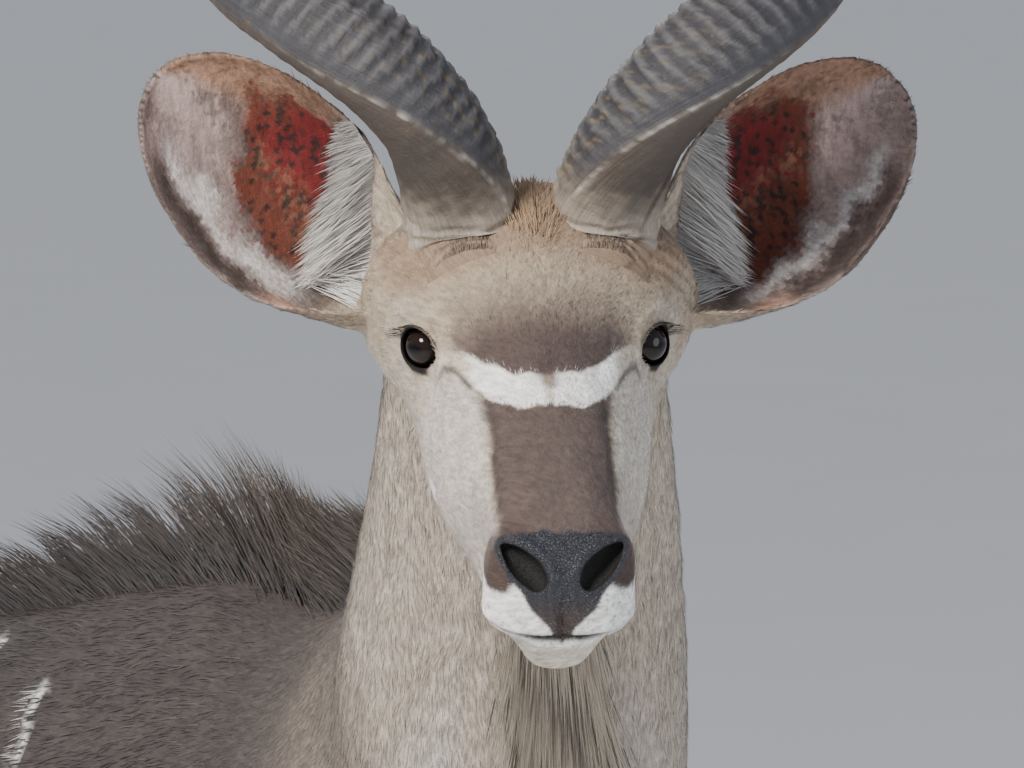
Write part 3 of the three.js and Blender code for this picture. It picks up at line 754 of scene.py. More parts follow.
@dataclass
class Markings:
    """The coat's colours as one function of place, for the skin and for the hair that grows on it."""

    trunk: Trunk
    stripes: tuple[tuple[float, float, float, float], ...] = (
        (150, 1270, 1010, -22), (245, 1295, 960, -30), (345, 1300, 935, -26), (450, 1298, 930, -14),
        (560, 1300, 945, -4), (670, 1302, 960, 10), (775, 1298, 1000, 26), (872, 1270, 1040, 44),
    )

    def head(self, points: Array) -> Array:
        """Colours of the face, cheeks and throat.

        Args:
            points: The places.

        Returns:
            A colour for each place.
        """
        local = HEAD.local(points)
        left, forward, up = local.T
        side = np.abs(left)
        rough, fine = waves(points, 26, 3), waves(points, 8, 4)
        edge = 2.2 * rough + 1.6 * fine
        c = Hue.FACE
        brow = smooth(-4, 18, up - 0.1 * side) * fade(64, 78, side + edge)
        c = blend(c, Hue.FOREHEAD, smooth(10, 40, up) * fade(-34, 6, forward + 0.6 * edge))
        c = blend(c, Hue.TAN, hill(side, 0, 17) * fade(-70, -34, forward) * 0.7)
        c = blend(c, Hue.TEMPLE, brow * smooth(-20, 58, forward + edge) * fade(110, 130, forward) * 0.96)
        pale = smooth(40, 54, side + 0.6 * edge) * smooth(18, 44, forward) * fade(14, 30, up + edge)
        c = blend(c, Hue.CHEEK, pale)
        c = blend(c, Hue.JOWL, pale * smooth(110, 160, forward - 0.5 * (up + 60) + edge) * 0.8)
        under = smooth(-8, 22, -up - 30) * fade(60, 120, forward) * smooth(-120, -60, forward)
        c = blend(c, Hue.CHEEK, under * 0.45)
        # the dark bridge of the nose, and the muzzle
        bridge = fade(42, 50, side + 0.5 * edge) * smooth(100, 112, forward) * smooth(-20, 8, up)
        c = blend(c, Hue.BRIDGE, bridge)
        # painted shade in the groove along the edge of the bridge
        c = blend(c, Hue.GARTER, bridge * hill(side, 45, 2.2) * 0.6 * fade(190, 215, forward))
        muzzle = smooth(216, 240, forward + edge - 0.12 * (up + 20)) * smooth(-40, -14, up) * smooth(14, 34, side)
        c = blend(c, Hue.MUZZLE, muzzle * 0.85)
        c = blend(c, Hue.MUZZLE, smooth(246, 256, forward) * smooth(-56, -44, up))
        # the white chevron between the eyes
        reach = [0, 25, 44, 58, 66, 74]
        middle = np.interp(side, reach, [108, 105, 82, 57, 43, 32])
        band = np.interp(side, reach, [16, 18, 17, 10, 6, 3])
        chevron = fade(band - 2.5, band + 2.5, np.abs(forward - middle) + 0.5 * edge) * smooth(-28, -8, up)
        chevron *= fade(74, 82, side)
        c = blend(c, Hue.CREAM, chevron)
        arm = smooth(52, 58, side) * fade(74, 82, side) * smooth(-28, -8, up)
        c = blend(c, Hue.DARK, hill(forward, middle + band + 3.5, 2.2) * arm * 0.75)
        c = blend(c, Hue.WHITE, chevron * fade(50, 62, side))
        c = blend(c, Hue.TEMPLE, hill(side, 0, 5.5) * fade(99, 108, forward + edge) * smooth(60, 80, forward))
        c = blend(c, Hue.FACE, hill(side, 0, 2.6) * chevron * 0.6)
        # cheek spots, lips and chin
        for forward_at, up_at, spot in ((52, -80, 10), (86, -76, 9), (24, -104, 10)):
            far = np.hypot(forward - forward_at, (up - up_at) * 1.2) + 0.8 * edge
            c = blend(c, Hue.WHITE, fade(spot - 4, spot + 4, far) * smooth(40, 55, side))
        top = np.interp(side, [0, 5, 9, 16, 24, 33, 43, 52, 80], [-52, -42, -28, -20, -9, 1, -12, -18, -22])
        lips = smooth(-3, 3, top - up + 0.7 * edge) * smooth(206, 226, forward + edge)
        c = blend(c, Hue.WHITE, lips)
        c = blend(c, Hue.SHADE, lips * smooth(0.8, 1.2, waves(points, 3.2, 9)) * 0.6)
        c = blend(c, Hue.CHIN, smooth(196, 222, forward) * fade(-58, -50, up) * 0.9)
        # painted shade under the jaw
        c = blend(c, Hue.SHADE, smooth(150, 230, forward) * fade(-104, -88, up) * 0.6)
        mouth = mouth_level(forward)
        # the dark line of the mouth is painted shade in the crease between the lips
        line = hill(up, mouth, 2.6 - 0.9 * smooth(14, 34, side)) * smooth(182, 205, forward)
        c = blend(c, Hue.DARK, line * (1 - 0.55 * smooth(16, 40, side)))
        # the eye: dark rims, pale above and below; nostrils
        for _, sign in SIDES:
            eye = from_lids(local, sign)
            far = np.linalg.norm(eye, axis=1)
            around = np.maximum(fade(-14, 2, eye[:, 2]), smooth(0, 12, sign * eye[:, 0]))
            c = blend(c, Hue.CHEEK, hill(far, 33, 7) * around * 0.4)
            c = blend(c, Hue.DARK, fade(21, 24, far + 0.3 * edge))
            tear = np.linalg.norm(local - np.array([sign * 69, 26, 8]), axis=1)
            c = blend(c, Hue.DARK, fade(3, 8, tear + 0.5 * edge) * 0.8)
        gap = nostril_gap(local)
        c = blend(c, Hue.NOSE, self.nose(points))
        c = blend(c, Hue.MUZZLE, self.nose(points) * fade(-26, -8, up) * 0.7)
        c = blend(c, Hue.NOSE, fade(3.5, 6, gap + 0.5 * edge))
        # painted shade inside the nostrils
        c = blend(c, Hue.NOSTRIL_SHADE, fade(-0.2, 2.0, gap))
        return c

    def nose(self, points: Array) -> Array:
        """How bare and wet the skin of the nose is, from 0 to 1.

        Args:
            points: The places.

        Returns:
            A share for each place.
        """
        left, forward, up = HEAD.local(points).T
        side = np.abs(left)
        pad = smooth(246, 251, forward + 0.08 * side + 1.5 * waves(points, 12, 6)) * fade(37, 42, side)
        low = np.interp(side, [0, 5, 7, 9, 16, 24, 30, 36, 46], [-47, -47, -45, -35, -27, -20, -10, -3, -2])
        gap = nostril_gap(HEAD.local(points))
        return np.maximum(pad * smooth(-2, 2, up - low), fade(2, 4.5, gap)) * smooth(-1, 1.5, gap)

    def body(self, points: Array, parts: Array, shares: Array) -> Array:
        """Colours of the trunk and the neck, carried on over the tops of the legs.

        Args:
            points: The places.
            parts: The part of each.
            shares: How far round and along each is.

        Returns:
            A colour for each place.
        """
        _, y, z = points.T
        rough, fine = waves(points, 90, 11), waves(points, 22, 12)
        trunk = parts == PARTS.index(Part.TRUNK)
        t = np.where(trunk, shares[:, 1] * NECK_END, np.interp(-y, [-1052, 0, 150], [0, 0.571, 0.643]))
        down = np.where(trunk, np.sin(shares[:, 0] * 2 * math.pi), np.clip((z - 1050) / 280, -1, 1))
        # the body's grey is partly its own colour and partly painted shade
        c = Hue.GREY
        c = blend(c, Hue.SHADE, 0.22 + 0.16 * rough + 0.12 * fine)
        c = blend(c, Hue.BELLY, fade(-0.95, -0.55, down) * fade(0.55, 0.62, t) * 0.75)
        c = blend(c, Hue.NECK, smooth(0.6, 0.8, t) * (0.85 + 0.15 * rough))
        c = blend(c, Hue.SHADE, smooth(0.62, 0.8, t) * fade(-0.98, -0.8, down) * 0.5)
        for at, top, low, lean in self.stripes:
            middle = at + lean * (top - z) / (top - low) + 5 * rough + 1.5 * fine
            wide = 3.6 + 1.8 * rough - 1.5 * fade(low, low + 160, z)
            band = fade(wide - 2, wide + 3, np.abs(y - middle) + 1.2 * fine)
            band = band * smooth(low, low + 60, z + 30 * fine)
            c = blend(c, Hue.WHITE, band * fade(top, top + 14, z) * fade(0.56, 0.6, t) * 0.85)
        c = blend(c, Hue.CREST, smooth(0.975, 0.99, down) * trunk * 0.75 * smooth(0.1, 0.2, t))
        return c

    def leg(self, leg: Leg, points: Array, shares: Array) -> Array:
        """Colours of a leg.

        Args:
            leg: The leg.
            points: The places.
            shares: How far round and along each is.

        Returns:
            A colour for each place.
        """
        z = points[:, 2]
        rough, fine = waves(points, 60, 21), waves(points, 14, 22)
        edge = 10 * rough + 4 * fine
        knee = 470.0 if leg.name.startswith("fore") else 560.0
        inner = -leg.side * np.cos(shares[:, 0] * 2 * math.pi)
        c = Hue.GREY
        c = blend(c, Hue.SHADE, 0.2 + 0.2 * rough)
        c = blend(c, Hue.CINNAMON, 0.85 * fade(knee - 60, knee + 130, z + edge))
        c = blend(c, Hue.GARTER, hill(z + edge, knee + 210, 34) * smooth(0.0, 0.7, inner + 0.2) * 0.85)
        c = blend(c, Hue.WHITE, smooth(0.3, 0.9, inner) * hill(z + edge, knee + 120, 60) * 0.7)
        c = blend(c, Hue.GARTER, fade(138, 158, z + 0.6 * edge) * 0.8)
        front = -np.sin(shares[:, 0] * 2 * math.pi)
        for turn in (0.35, 0.65):
            patch = np.hypot((shares[:, 0] - 0.5 - turn + 0.25) * 180, z - 104 + 0.3 * edge)
            c = blend(c, Hue.WHITE, fade(9, 15, patch) * 0.9)
        c = blend(c, Hue.BLACK, fade(64, 76, z + 0.3 * edge) * 0.7 * smooth(-1.0, 0.0, front + 1))
        return c

    def tail(self, _: Array, shares: Array) -> Array:
        """Colours of the tail, pale underneath and black towards its tip.

        Args:
            _: The places; not used.
            shares: How far round and along each is.

        Returns:
            A colour for each place.
        """
        down = np.sin(shares[:, 0] * 2 * math.pi)
        c = Hue.GREY
        c = blend(c, Hue.WHITE, smooth(0.0, 0.8, -down) * 0.8)
        return blend(c, Hue.BLACK, smooth(0.7, 0.85, shares[:, 1]))

    def ear(self, points: Array, shares: Array) -> Array:
        """Colours of an ear: a grey back, and a red flecked cup between a tan, a pale and a dark rim.

        Args:
            points: The places.
            shares: How far round and along each is.

        Returns:
            A colour for each place.
        """
        round_, s = shares.T
        inside = round_ >= 0.5
        t = np.where(inside, 3 - 4 * round_, 4 * round_ - 1)
        s = 0.1 + 0.9 * s
        rough = waves(points, 30, 33)
        streak = waves(columns(s * 150, t * 80, 0), 4.6, 31)
        edge = 0.06 * rough + 0.03 * streak
        back = blend(Hue.EAR_BACK, Hue.SHADE, smooth(0.4, 1, s) * 0.5)
        back = blend(back, Hue.GARTER, smooth(0.9, 0.98, np.abs(t)) * smooth(0.2, 0.5, s) * 0.8)
        cup = blend(Hue.EAR_PALE, Hue.GARTER, smooth(0.1, 0.7, rough + 0.6 * streak) * 0.35)
        cup = blend(cup, Hue.EAR_TAN, fade(-0.5, -0.1, t + edge) * smooth(0.4, 0.6, s))
        cup = blend(cup, Hue.DARK, smooth(0.2, 0.9, streak + rough) * fade(-0.4, 0.2, t) * 0.35)
        middle = np.hypot((s - 0.47) / 0.27, (t + 0.2 + (s - 0.5)) / 0.5) + 2.6 * edge
        cup = blend(cup, Hue.GARTER, fade(0.95, 1.3, middle) * smooth(-0.4, 0.3, rough + t) * 0.6)
        cup = blend(cup, Hue.EAR_RUST, fade(0.8, 1.1, middle))
        cup = blend(cup, Hue.EAR_RED, fade(0.45, 1.1, np.hypot((t + 0.38) / 0.42, (s - 0.48) / 0.2) + 2.2 * edge))
        # painted highlight along a fold in the cup
        fold = hill(t - 0.1 * np.sin(9 * s), 0.0, 0.07) * fade(0.7, 0.9, middle) * smooth(-0.6, 0.6, streak)
        cup = blend(cup, Hue.TAN, fold * 0.35)
        cup = blend(cup, Hue.DARK, smooth(0.25, 0.7, streak + 0.4 * rough) * fade(0.8, 1.15, middle) * 0.85)
        low = smooth(0.15, 0.25, s) * fade(0.72, 0.88, s)
        cup = blend(cup, Hue.GARTER, hill(t + edge, 0.8, 0.13) * low * 0.85)
        cup = blend(cup, Hue.WHITE, hill(t + edge, 0.52, 0.06) * low * 0.6)
        cup = blend(cup, Hue.EAR_PINK, smooth(0.5, 0.8, t) * fade(0.2, 0.3, s))
        # painted shade in the pit at the ear's root
        cup = blend(cup, Hue.DARK, hill(t, 0.45, 0.25) * hill(s, 0.12, 0.07) * 0.95)
        root = ear_edge(s)
        fur = waves(columns(s * 14, t * 120, 0), 5, 35)
        cream = blend(Hue.CREAM, Hue.FACE, smooth(-0.2, 0.8, fur) * 0.8)
        cup = blend(cup, cream, fade(root - 0.06, root + 0.06, t))
        cup = blend(cup, Hue.GARTER, smooth(0.95, 0.985, np.abs(t)) * smooth(0.35, 0.5, s) * 0.9)
        return np.where(inside[:, None], cup, back)

    def at(self, points: Array, parts: Array, shares: Array) -> Array:
        """The colour at each place.

        Args:
            points: The places.
            parts: The part of each.
            shares: How far round and along each is.

        Returns:
            A colour for each place.
        """
        colour = self.body(points, parts, shares)
        for leg in LEGS:
            here = parts == PARTS.index(leg.part)
            share = fade(760, 900, points[here, 2])
            colour[here] = blend(colour[here], self.leg(leg, points[here], shares[here]), share)
        for part, rule in ((Part.TAIL, self.tail), (Part.EAR_LEFT, self.ear), (Part.EAR_RIGHT, self.ear)):
            here = parts == PARTS.index(part)
            colour[here] = rule(points[here], shares[here])
        face = on_head(points, parts, shares)
        for part in (Part.EAR_LEFT, Part.EAR_RIGHT):
            face += (parts == PARTS.index(part)) * fade(0.02, 0.1, shares[:, 1])
        here = face > 0
        colour[here] = blend(colour[here], self.head(points[here]), face[here])
        return np.clip(colour, 0, 1)


# Blender meshes


@dataclass
class Yard:
    """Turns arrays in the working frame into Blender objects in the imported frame."""

    shift: Array = field(default_factory=lambda: np.array([80.67, -194.14, 0.0]))

    def metres(self, points: Array) -> Array:
        """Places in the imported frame."""
        return (points + self.shift) / METRE

    def mesh(self, name: str, shell: Shell) -> Thing:
        """A new object with the shell's mesh.

        Args:
            name: The object's name.
            shell: Its points and faces.

        Returns:
            The object, in the scene.
        """
        mesh = bpy.data.meshes.new(name)
        sizes = np.concatenate([np.full(len(rows), rows.shape[1]) for rows in shell.faces])
        corners = np.concatenate([rows.ravel() for rows in shell.faces])
        mesh.vertices.add(len(shell.points))
        mesh.loops.add(len(corners))
        mesh.polygons.add(len(sizes))
        mesh.vertices.foreach_set("co", self.metres(shell.points).astype(np.float32).ravel())
        mesh.loops.foreach_set("vertex_index", corners.astype(np.int32))
        mesh.polygons.foreach_set("loop_start", np.concatenate([[0], np.cumsum(sizes)[:-1]]).astype(np.int32))
        mesh.update(calc_edges=True)
        mesh.validate()
        mesh.polygons.foreach_set("use_smooth", np.ones(len(mesh.polygons), bool))
        obj = bpy.data.objects.new(name, mesh)
        bpy.context.scene.collection.objects.link(obj)
        return obj

    def places(self, mesh: Mesh) -> Array:
        """The mesh's points in the working frame."""
        return read(mesh.vertices, "co", 3).astype(float) * METRE - self.shift

    def place(self, mesh: Mesh, points: Array) -> None:
        """Moves the mesh's points to places in the working frame."""
        mesh.vertices.foreach_set("co", self.metres(points).astype(np.float32).ravel())
        mesh.update()


YARD = Yard()


def read(rows: bpy.types.bpy_prop_collection, name: str, width: int = 1, kind: type = np.float32) -> Array:
    """The numbers that a mesh keeps under a name, a row for each of its points, edges or corners.

    Args:
        rows: The points, edges or corners.
        name: The name.
        width: Numbers to a row.
        kind: Their type.

    Returns:
        The rows.
    """
    got = np.empty(len(rows) * width, kind)
    rows.foreach_get(name, got)
    return got.reshape(-1, width)


def settled(obj: Thing, **modifier: float | str | bool) -> None:
    """Adds a modifier, given by its type and settings, and makes its result the object's own mesh.

    Args:
        obj: The object.
        modifier: Its type as kind, and its settings.
    """
    kind = modifier.pop("kind")
    made = obj.modifiers.new("step", kind)
    for key, value in modifier.items():
        setattr(made, key, value)
    bpy.context.view_layer.update()
    graph = bpy.context.evaluated_depsgraph_get()
    mesh = bpy.data.meshes.new_from_object(obj.evaluated_get(graph))
    obj.modifiers.clear()
    old, obj.data = obj.data, mesh
    bpy.data.meshes.remove(old)


def drop(obj: Thing) -> None:
    """Takes a helper object out of the scene, by way of its mesh."""
    bpy.data.meshes.remove(obj.data)


def colour_points(mesh: Mesh, name: str, colours: Array) -> None:
    """Writes a colour for every point of the mesh."""
    layer = mesh.attributes.new(name, "FLOAT_COLOR", "POINT")
    layer.data.foreach_set("color", np.concatenate([colours, np.ones((len(colours), 1))], 1).astype(np.float32).ravel())


def number_points(mesh: Mesh, name: str, values: Array) -> None:
    """Writes a number for every point of the mesh."""
    mesh.attributes.new(name, "FLOAT", "POINT").data.foreach_set("value", values.astype(np.float32))


def relax(points: Array, edges: Array, weight: Array, rounds: int) -> Array:
    """Evens out points towards their neighbours.

    Args:
        points: The places.
        edges: Pairs of neighbours.
        weight: How freely each point moves, from 0 to 1.
        rounds: How often it is done.

    Returns:
        The new places.
    """
    a, b = edges.T
    count = np.bincount(a, minlength=len(points)) + np.bincount(b, minlength=len(points))
    keep = points.copy()
    for _ in range(rounds):
        total = np.stack([np.bincount(a, keep[b, k], len(points)) + np.bincount(b, keep[a, k], len(points))
                          for k in range(3)], 1)
        keep += weight[:, None] * 0.6 * (total / np.maximum(count, 1)[:, None] - keep)
    return keep


# Finishes


class Board:
    """A material's node tree, with short ways to place and join nodes."""

    def __init__(self, name: str) -> None:
        """Starts an empty material.

        Args:
            name: The material's name.
        """
        self.material = bpy.data.materials.new(name)
        self.material.use_nodes = True
        self.tree = self.material.node_tree
        self.tree.nodes.clear()
        self.shader = self.node("ShaderNodeBsdfPrincipled")
        self.join(self.shader, "BSDF", self.node("ShaderNodeOutputMaterial"), "Surface")

    def node(self, kind: str, **settings: object) -> Node:
        """Places a node; settings name its properties, or its sockets with _ for spaces.

        Args:
            kind: The node's type.
            settings: What it is set to.

        Returns:
            The node.
        """
        made = self.tree.nodes.new(kind)
        for key, value in settings.items():
            if hasattr(made, key):
                setattr(made, key, value)
            else:
                made.inputs[key.replace("_", " ")].default_value = value
        return made

    def join(self, source: Node, out: str | int, target: Node, into: str | int) -> None:
        """Joins two nodes."""
        self.tree.links.new(source.outputs[out], target.inputs[into])

    def attribute(self, name: str) -> Node:
        """Reads an attribute of the mesh."""
        return self.node("ShaderNodeAttribute", attribute_name=name)

    def noise(self, scale: float, detail: float = 4.0, rough: float = 0.55) -> Node:
        """Noise over the object's own coordinates, scale in grains to the metre.

        Args:
            scale: The scale.
            detail: How many finer layers it has.
            rough: How strong those layers are.

        Returns:
            The noise's node.
        """
        made = self.node("ShaderNodeTexNoise", Scale=scale, Detail=detail, Roughness=rough)
        self.join(self.node("ShaderNodeTexCoord"), "Object", made, "Vector")
        return made

    def stretched(self, scale: Triple, detail: float = 4.0, rough: float = 0.6,
                  grain: float = 1.0, map_name: str = "") -> Node:
        """Noise with a grain of its own along each axis, in grains to the metre.

        Args:
            scale: Grains along each axis.
            detail: How many finer layers it has.
            rough: How strong those layers are.
            grain: A further scale for all axes.
            map_name: The mesh's map that it follows, or none for the object's own coordinates.

        Returns:
            The noise's node.
        """
        stretch = self.node("ShaderNodeMapping", vector_type="POINT", Scale=scale)
        if map_name:
            self.join(self.node("ShaderNodeUVMap", uv_map=map_name), 0, stretch, "Vector")
        else:
            self.join(self.node("ShaderNodeTexCoord"), "Object", stretch, "Vector")
        made = self.node("ShaderNodeTexNoise", Scale=grain, Detail=detail, Roughness=rough)
        self.join(stretch, 0, made, "Vector")
        return made

    def product(self, first: Node, out: str | int, second: Node,
                into: str | int) -> Node:
        """Two numbers multiplied.

        Args:
            first: The node of the first number.
            out: That node's socket.
            second: The node of the second number.
            into: The second node's socket.

        Returns:
            The node of the product.
        """
        made = self.node("ShaderNodeMath", operation="MULTIPLY")
        self.join(first, out, made, 0)
        self.join(second, into, made, 1)
        return made

    def shaded(self, tone: Node) -> Node:
        """The mesh's markings, made lighter and darker by a number.

        Args:
            tone: The node of the number.

        Returns:
            The node of the colour, in its socket 2.
        """
        gain = self.node("ShaderNodeCombineColor")
        for channel in range(3):
            self.join(tone, 0, gain, channel)
        return self.mixed(None, 1.0, (self.attribute("markings"), "Color"), (gain, 0), "MULTIPLY")

    def ranged(self, source: Node, out: str | int, low: float, high: float,
               to: tuple[float, float] = (0.0, 1.0)) -> Node:
        """A number moved from one range to another.

        Args:
            source: The node of the number.
            out: Its socket.
            low: The first range's start.
            high: Its end.
            to: The new range.

        Returns:
            The node of the new number.
        """
        made = self.node("ShaderNodeMapRange")
        self.join(source, out, made, 0)
        for place, value in zip((1, 2, 3, 4), (low, high, *to)):
            made.inputs[place].default_value = value
        return made

    def mixed(self, share: Node, out: str | int, first: object, second: object,
              how: str = "MIX") -> Node:
        """Two colours mixed; each is a colour or a node and the name of its socket.

        Args:
            share: The node of the share, or none for a fixed one.
            out: Its socket, or the fixed share.
            first: The colour at 0.
            second: The colour at 1.
            how: How they are mixed.

        Returns:
            The node of the colour, in its socket 2.
        """
        made = self.node("ShaderNodeMix", data_type="RGBA", blend_type=how)
        if share is None:
            made.inputs[0].default_value = float(out)
        else:
            self.join(share, out, made, 0)
        for place, value in ((6, first), (7, second)):
            if isinstance(value, tuple) and isinstance(value[0], Node):
                self.join(value[0], value[1], made, place)
            else:
                made.inputs[place].default_value = (*value, 1.0)
        return made

    def bump(self, *heights: tuple[Node, str | int, float]) -> None:
        """Stacks bumps on the shader; each is a node, its socket and a depth in metres.

        Args:
            heights: The bumps, coarse or fine in any order.
        """
        last = None
        for source, out, depth in heights:
            made = self.node("ShaderNodeBump", Strength=1.0, Distance=depth)
            self.join(source, out, made, "Height")
            if last is not None:
                self.join(last, "Normal", made, "Normal")
            last = made
        self.join(last, "Normal", self.shader, "Normal")


@dataclass(frozen=True)
class SkinFinish:
    """Short coat seen as a surface, bare glossy skin on the nose."""

    grain: float = 0.0006
    rough: float = 0.82

    def make(self) -> Material:
        """The material, from the mesh's markings and bare attributes.

        Returns:
            The finish.
        """
        b = Board("coat-ground")
        bare = b.attribute("bare")
        speck = b.ranged(b.noise(900.0, 3.0), 0, 0.3, 0.7, (0.82, 1.12))
        lie = b.mixed(b.attribute("upright"), "Fac", (b.stretched((230, 70, 230)), 0), (b.stretched((230, 230, 70)), 0))
        patch = b.ranged(lie, 2, 0.32, 0.68, (0.66, 1.28))
        b.join(b.shaded(b.product(speck, 0, patch, 0)), 2, b.shader, "Base Color")
        b.join(b.ranged(bare, "Fac", 0, 1, (self.rough, 0.34)), 0, b.shader, "Roughness")
        cell = b.node("ShaderNodeTexVoronoi", feature="DISTANCE_TO_EDGE", Scale=420.0)
        b.join(b.node("ShaderNodeTexCoord"), "Object", cell, "Vector")
        wrinkle = b.product(b.ranged(cell, 0, 0.0, 0.12), 0, bare, "Fac")
        b.bump((b.noise(1400.0, 2.0), 0, self.grain), (b.noise(260.0, 4.0), 0, self.grain * 1.4),
               (lie, 2, 0.0009), (wrinkle, 0, 0.0007))
        return b.material


# The skin


@dataclass
class Hide:
    """The whole skin as one closed mesh: coarser over the body, fine over the head and ears."""

    skull: Skull
    trunk: Trunk
    tail: Tail
    ears: list[Ear]
    body_depth: float = 7.0
    face_depth: float = 1.5
    body_grain: float = 7.0
    head_grain: float = 2.2

    def remeshed(self, name: str, shell: Shell, grain: float) -> Thing:
        """The shells melted into one closed skin with faces of about one size.

        Args:
            name: The object's name.
            shell: The shells.
            grain: The size of a face.

        Returns:
            The object.
        """
        obj = YARD.mesh(name, shell)
        settled(obj, kind="REMESH", mode="VOXEL", voxel_size=grain / METRE)
        return obj

    def body(self) -> Thing:
        """The trunk, legs and tail.

        Returns:
            The object.
        """
        first = self.trunk.shell(self.body_depth, 0.0, 0.96)
        legs = [self.tapered(leg) for leg in LEGS]
        obj = self.remeshed("hide-body", first.joined(*legs, self.tail.shell(3.0)), self.body_grain)
        points = YARD.places(obj.data)
        _, y, z = points.T
        joint = smooth(620, 740, z) * fade(1240, 1320, z) * np.maximum(hill(y, -40, 120), hill(y, 850, 150))
        joint = np.maximum(joint, hill(y, 1040, 60) * smooth(1000, 1100, z))
        YARD.place(obj.data, relax(points, read(obj.data.edges, "vertices", 2, np.int32), joint, 24))
        return obj

    def tapered(self, leg: Leg) -> Shell:
        """A leg whose skin comes close under the solid towards the hoof."""
        shell = leg.shell(0.0)
        return shell.sunk((1.5 + (self.body_depth - 1.5) * smooth(350, 800, shell.points[:, 2]))[:, None])

    def head(self) -> Thing:
        """The upper neck, the head, lids and ears, with the eyes and nostrils opened.

        Returns:
            The object.
        """
        neck = self.trunk.shell(self.body_depth, 0.78, 1.0, 120)
        shells = [self.skull.shell(self.face_depth)]
        shells += [ball(eyeball_at(sign), 22.8, 40) for _, sign in SIDES]
        shells += [ear.shell(0.4) for ear in self.ears]
        obj = self.remeshed("hide-head", neck.joined(*shells), self.head_grain)
        self.sculpt(obj)
        for _, sign in SIDES:
            self.open_up(obj, ball(eyeball_at(sign), 20.3, 40))
            self.open_up(obj, self.lid_opening(sign))
            self.open_up(obj, self.nostril(sign))
        self.soften(obj)
        return obj

    def lid_opening(self, sign: float) -> Shell:
        """A lens-shaped prism that opens the lids along the gaze.

        Args:
            sign: 1 for left, -1 for right.

        Returns:
            The closed shell to cut away.
        """
        out, along, across = eye_axes(sign)
        angle = np.arange(64) * 2 * math.pi / 64
        flat = np.abs(np.sin(angle)) ** 1.15 * np.sign(np.sin(angle))
        lens = along * (20.0 * np.cos(angle))[:, None] + across * (15.8 * flat)[:, None]
        centre = eyeball_at(sign)
        return tube(np.array([centre + lens * share + out * far for far, share in ((4, 0.9), (20, 1.0), (60, 1.3))]))

    def nostril(self, sign: float) -> Shell:
        """A comma-shaped hollow that runs back and up from the front of the nose.

        Args:
            sign: 1 for left, -1 for right.

        Returns:
            The closed shell to cut away.
        """
        balls = [ball(HEAD.points([sign * l, f, u]), r, 16) for l, f, u, r in spline(NOSTRIL, np.linspace(0, 1, 12))]
        helper = self.remeshed("nostril", balls[0].joined(*balls[1:]), 1.4)
        places = YARD.places(helper.data)
        faces = [np.array([p.vertices[:] for p in helper.data.polygons], int)]
        drop(helper)
        return Shell(places, faces)

    def open_up(self, obj: Thing, hollow: Shell) -> None:
        """Cuts a hollow into the mesh.

        Args:
            obj: The skin's mesh.
            hollow: The hollow's closed shell.
        """
        cutter = YARD.mesh("hollow", hollow)
        settled(obj, kind="BOOLEAN", operation="DIFFERENCE", object=cutter, solver="MANIFOLD")
        drop(cutter)

    def sculpt(self, obj: Thing) -> None:
        """Folds, grooves and lips that are finer than the solid's forms.

        Args:
            obj: The skin's mesh.
        """
        points = YARD.places(obj.data)
        local = HEAD.local(points)
        left, forward, up = local.T
        side = np.abs(left)
        lift = np.zeros(len(points))
        front = smooth(160, 200, forward)
        mouth = mouth_level(forward)
        lift -= (3.6 - 1.4 * smooth(16, 40, side)) * hill(up, mouth, 1.9) * smooth(172, 186, forward) * (side < 80)
        lift -= 7.5 * smooth(14, 40, side) * smooth(196, 232, forward) * fade(-9, -1, up - mouth)
        lift += 1.3 * hill(up, mouth + 6, 4) * front + 1.2 * hill(up, mouth - 6, 4) * front
        lift -= 2.6 * hill(side, 0, 2.6) * smooth(252, 262, forward) * smooth(-46, -40, up) * fade(-14, 0, up)
        lift -= 1.6 * hill(side, 0, 9) * smooth(120, 160, forward) * fade(225, 245, forward) * smooth(0, 20, up)
        bridge = smooth(98, 115, forward) * fade(185, 215, forward) * smooth(-30, -10, up)
        lift -= 1.8 * hill(side, 45, 2.2) * bridge
        lift += 1.1 * hill(left, 57 - 0.06 * (forward - 110), 2.0) * bridge
        lift += 2.4 * hill(nostril_gap(local), 4.5, 2.8) * smooth(-12, 6, up) * smooth(236, 252, forward)
        for _, sign in SIDES:
            eye = from_lids(local, sign)
            far = np.linalg.norm(eye, axis=1)
            over = smooth(-6, 8, eye[:, 2])
            lift -= 1.8 * hill(far, 27.5, 1.8) * (0.35 + 0.65 * over)
            lift += 1.6 * hill(far, 32.0, 3.0) * over
            tear = np.hypot((eye[:, 1] - 30) * 0.45, (eye[:, 2] + 10 + 0.25 * (eye[:, 1] - 24)))
            lift -= 2.4 * hill(tear, 0, 3.0) * (sign * left > 50)
            for at, depth in ((-46, 1.6), (-58, 1.9), (-70, 1.5)):
                crease = hill(forward - 0.25 * up, at, 2.6) * hill(up, 22, 26) * (sign * left > 60)
                lift -= depth * crease
            for at, depth in ((118, 1.5), (126, 1.2)):
                lift -= depth * hill(sign * left, at, 2.4) * hill(forward, -66, 26) * smooth(-70, -40, up)
        lift += 0.5 * waves(points, 34, 51) * fade(225, 240, forward)
        YARD.place(obj.data, points + read(obj.data.vertices, "normal", 3) * lift[:, None])

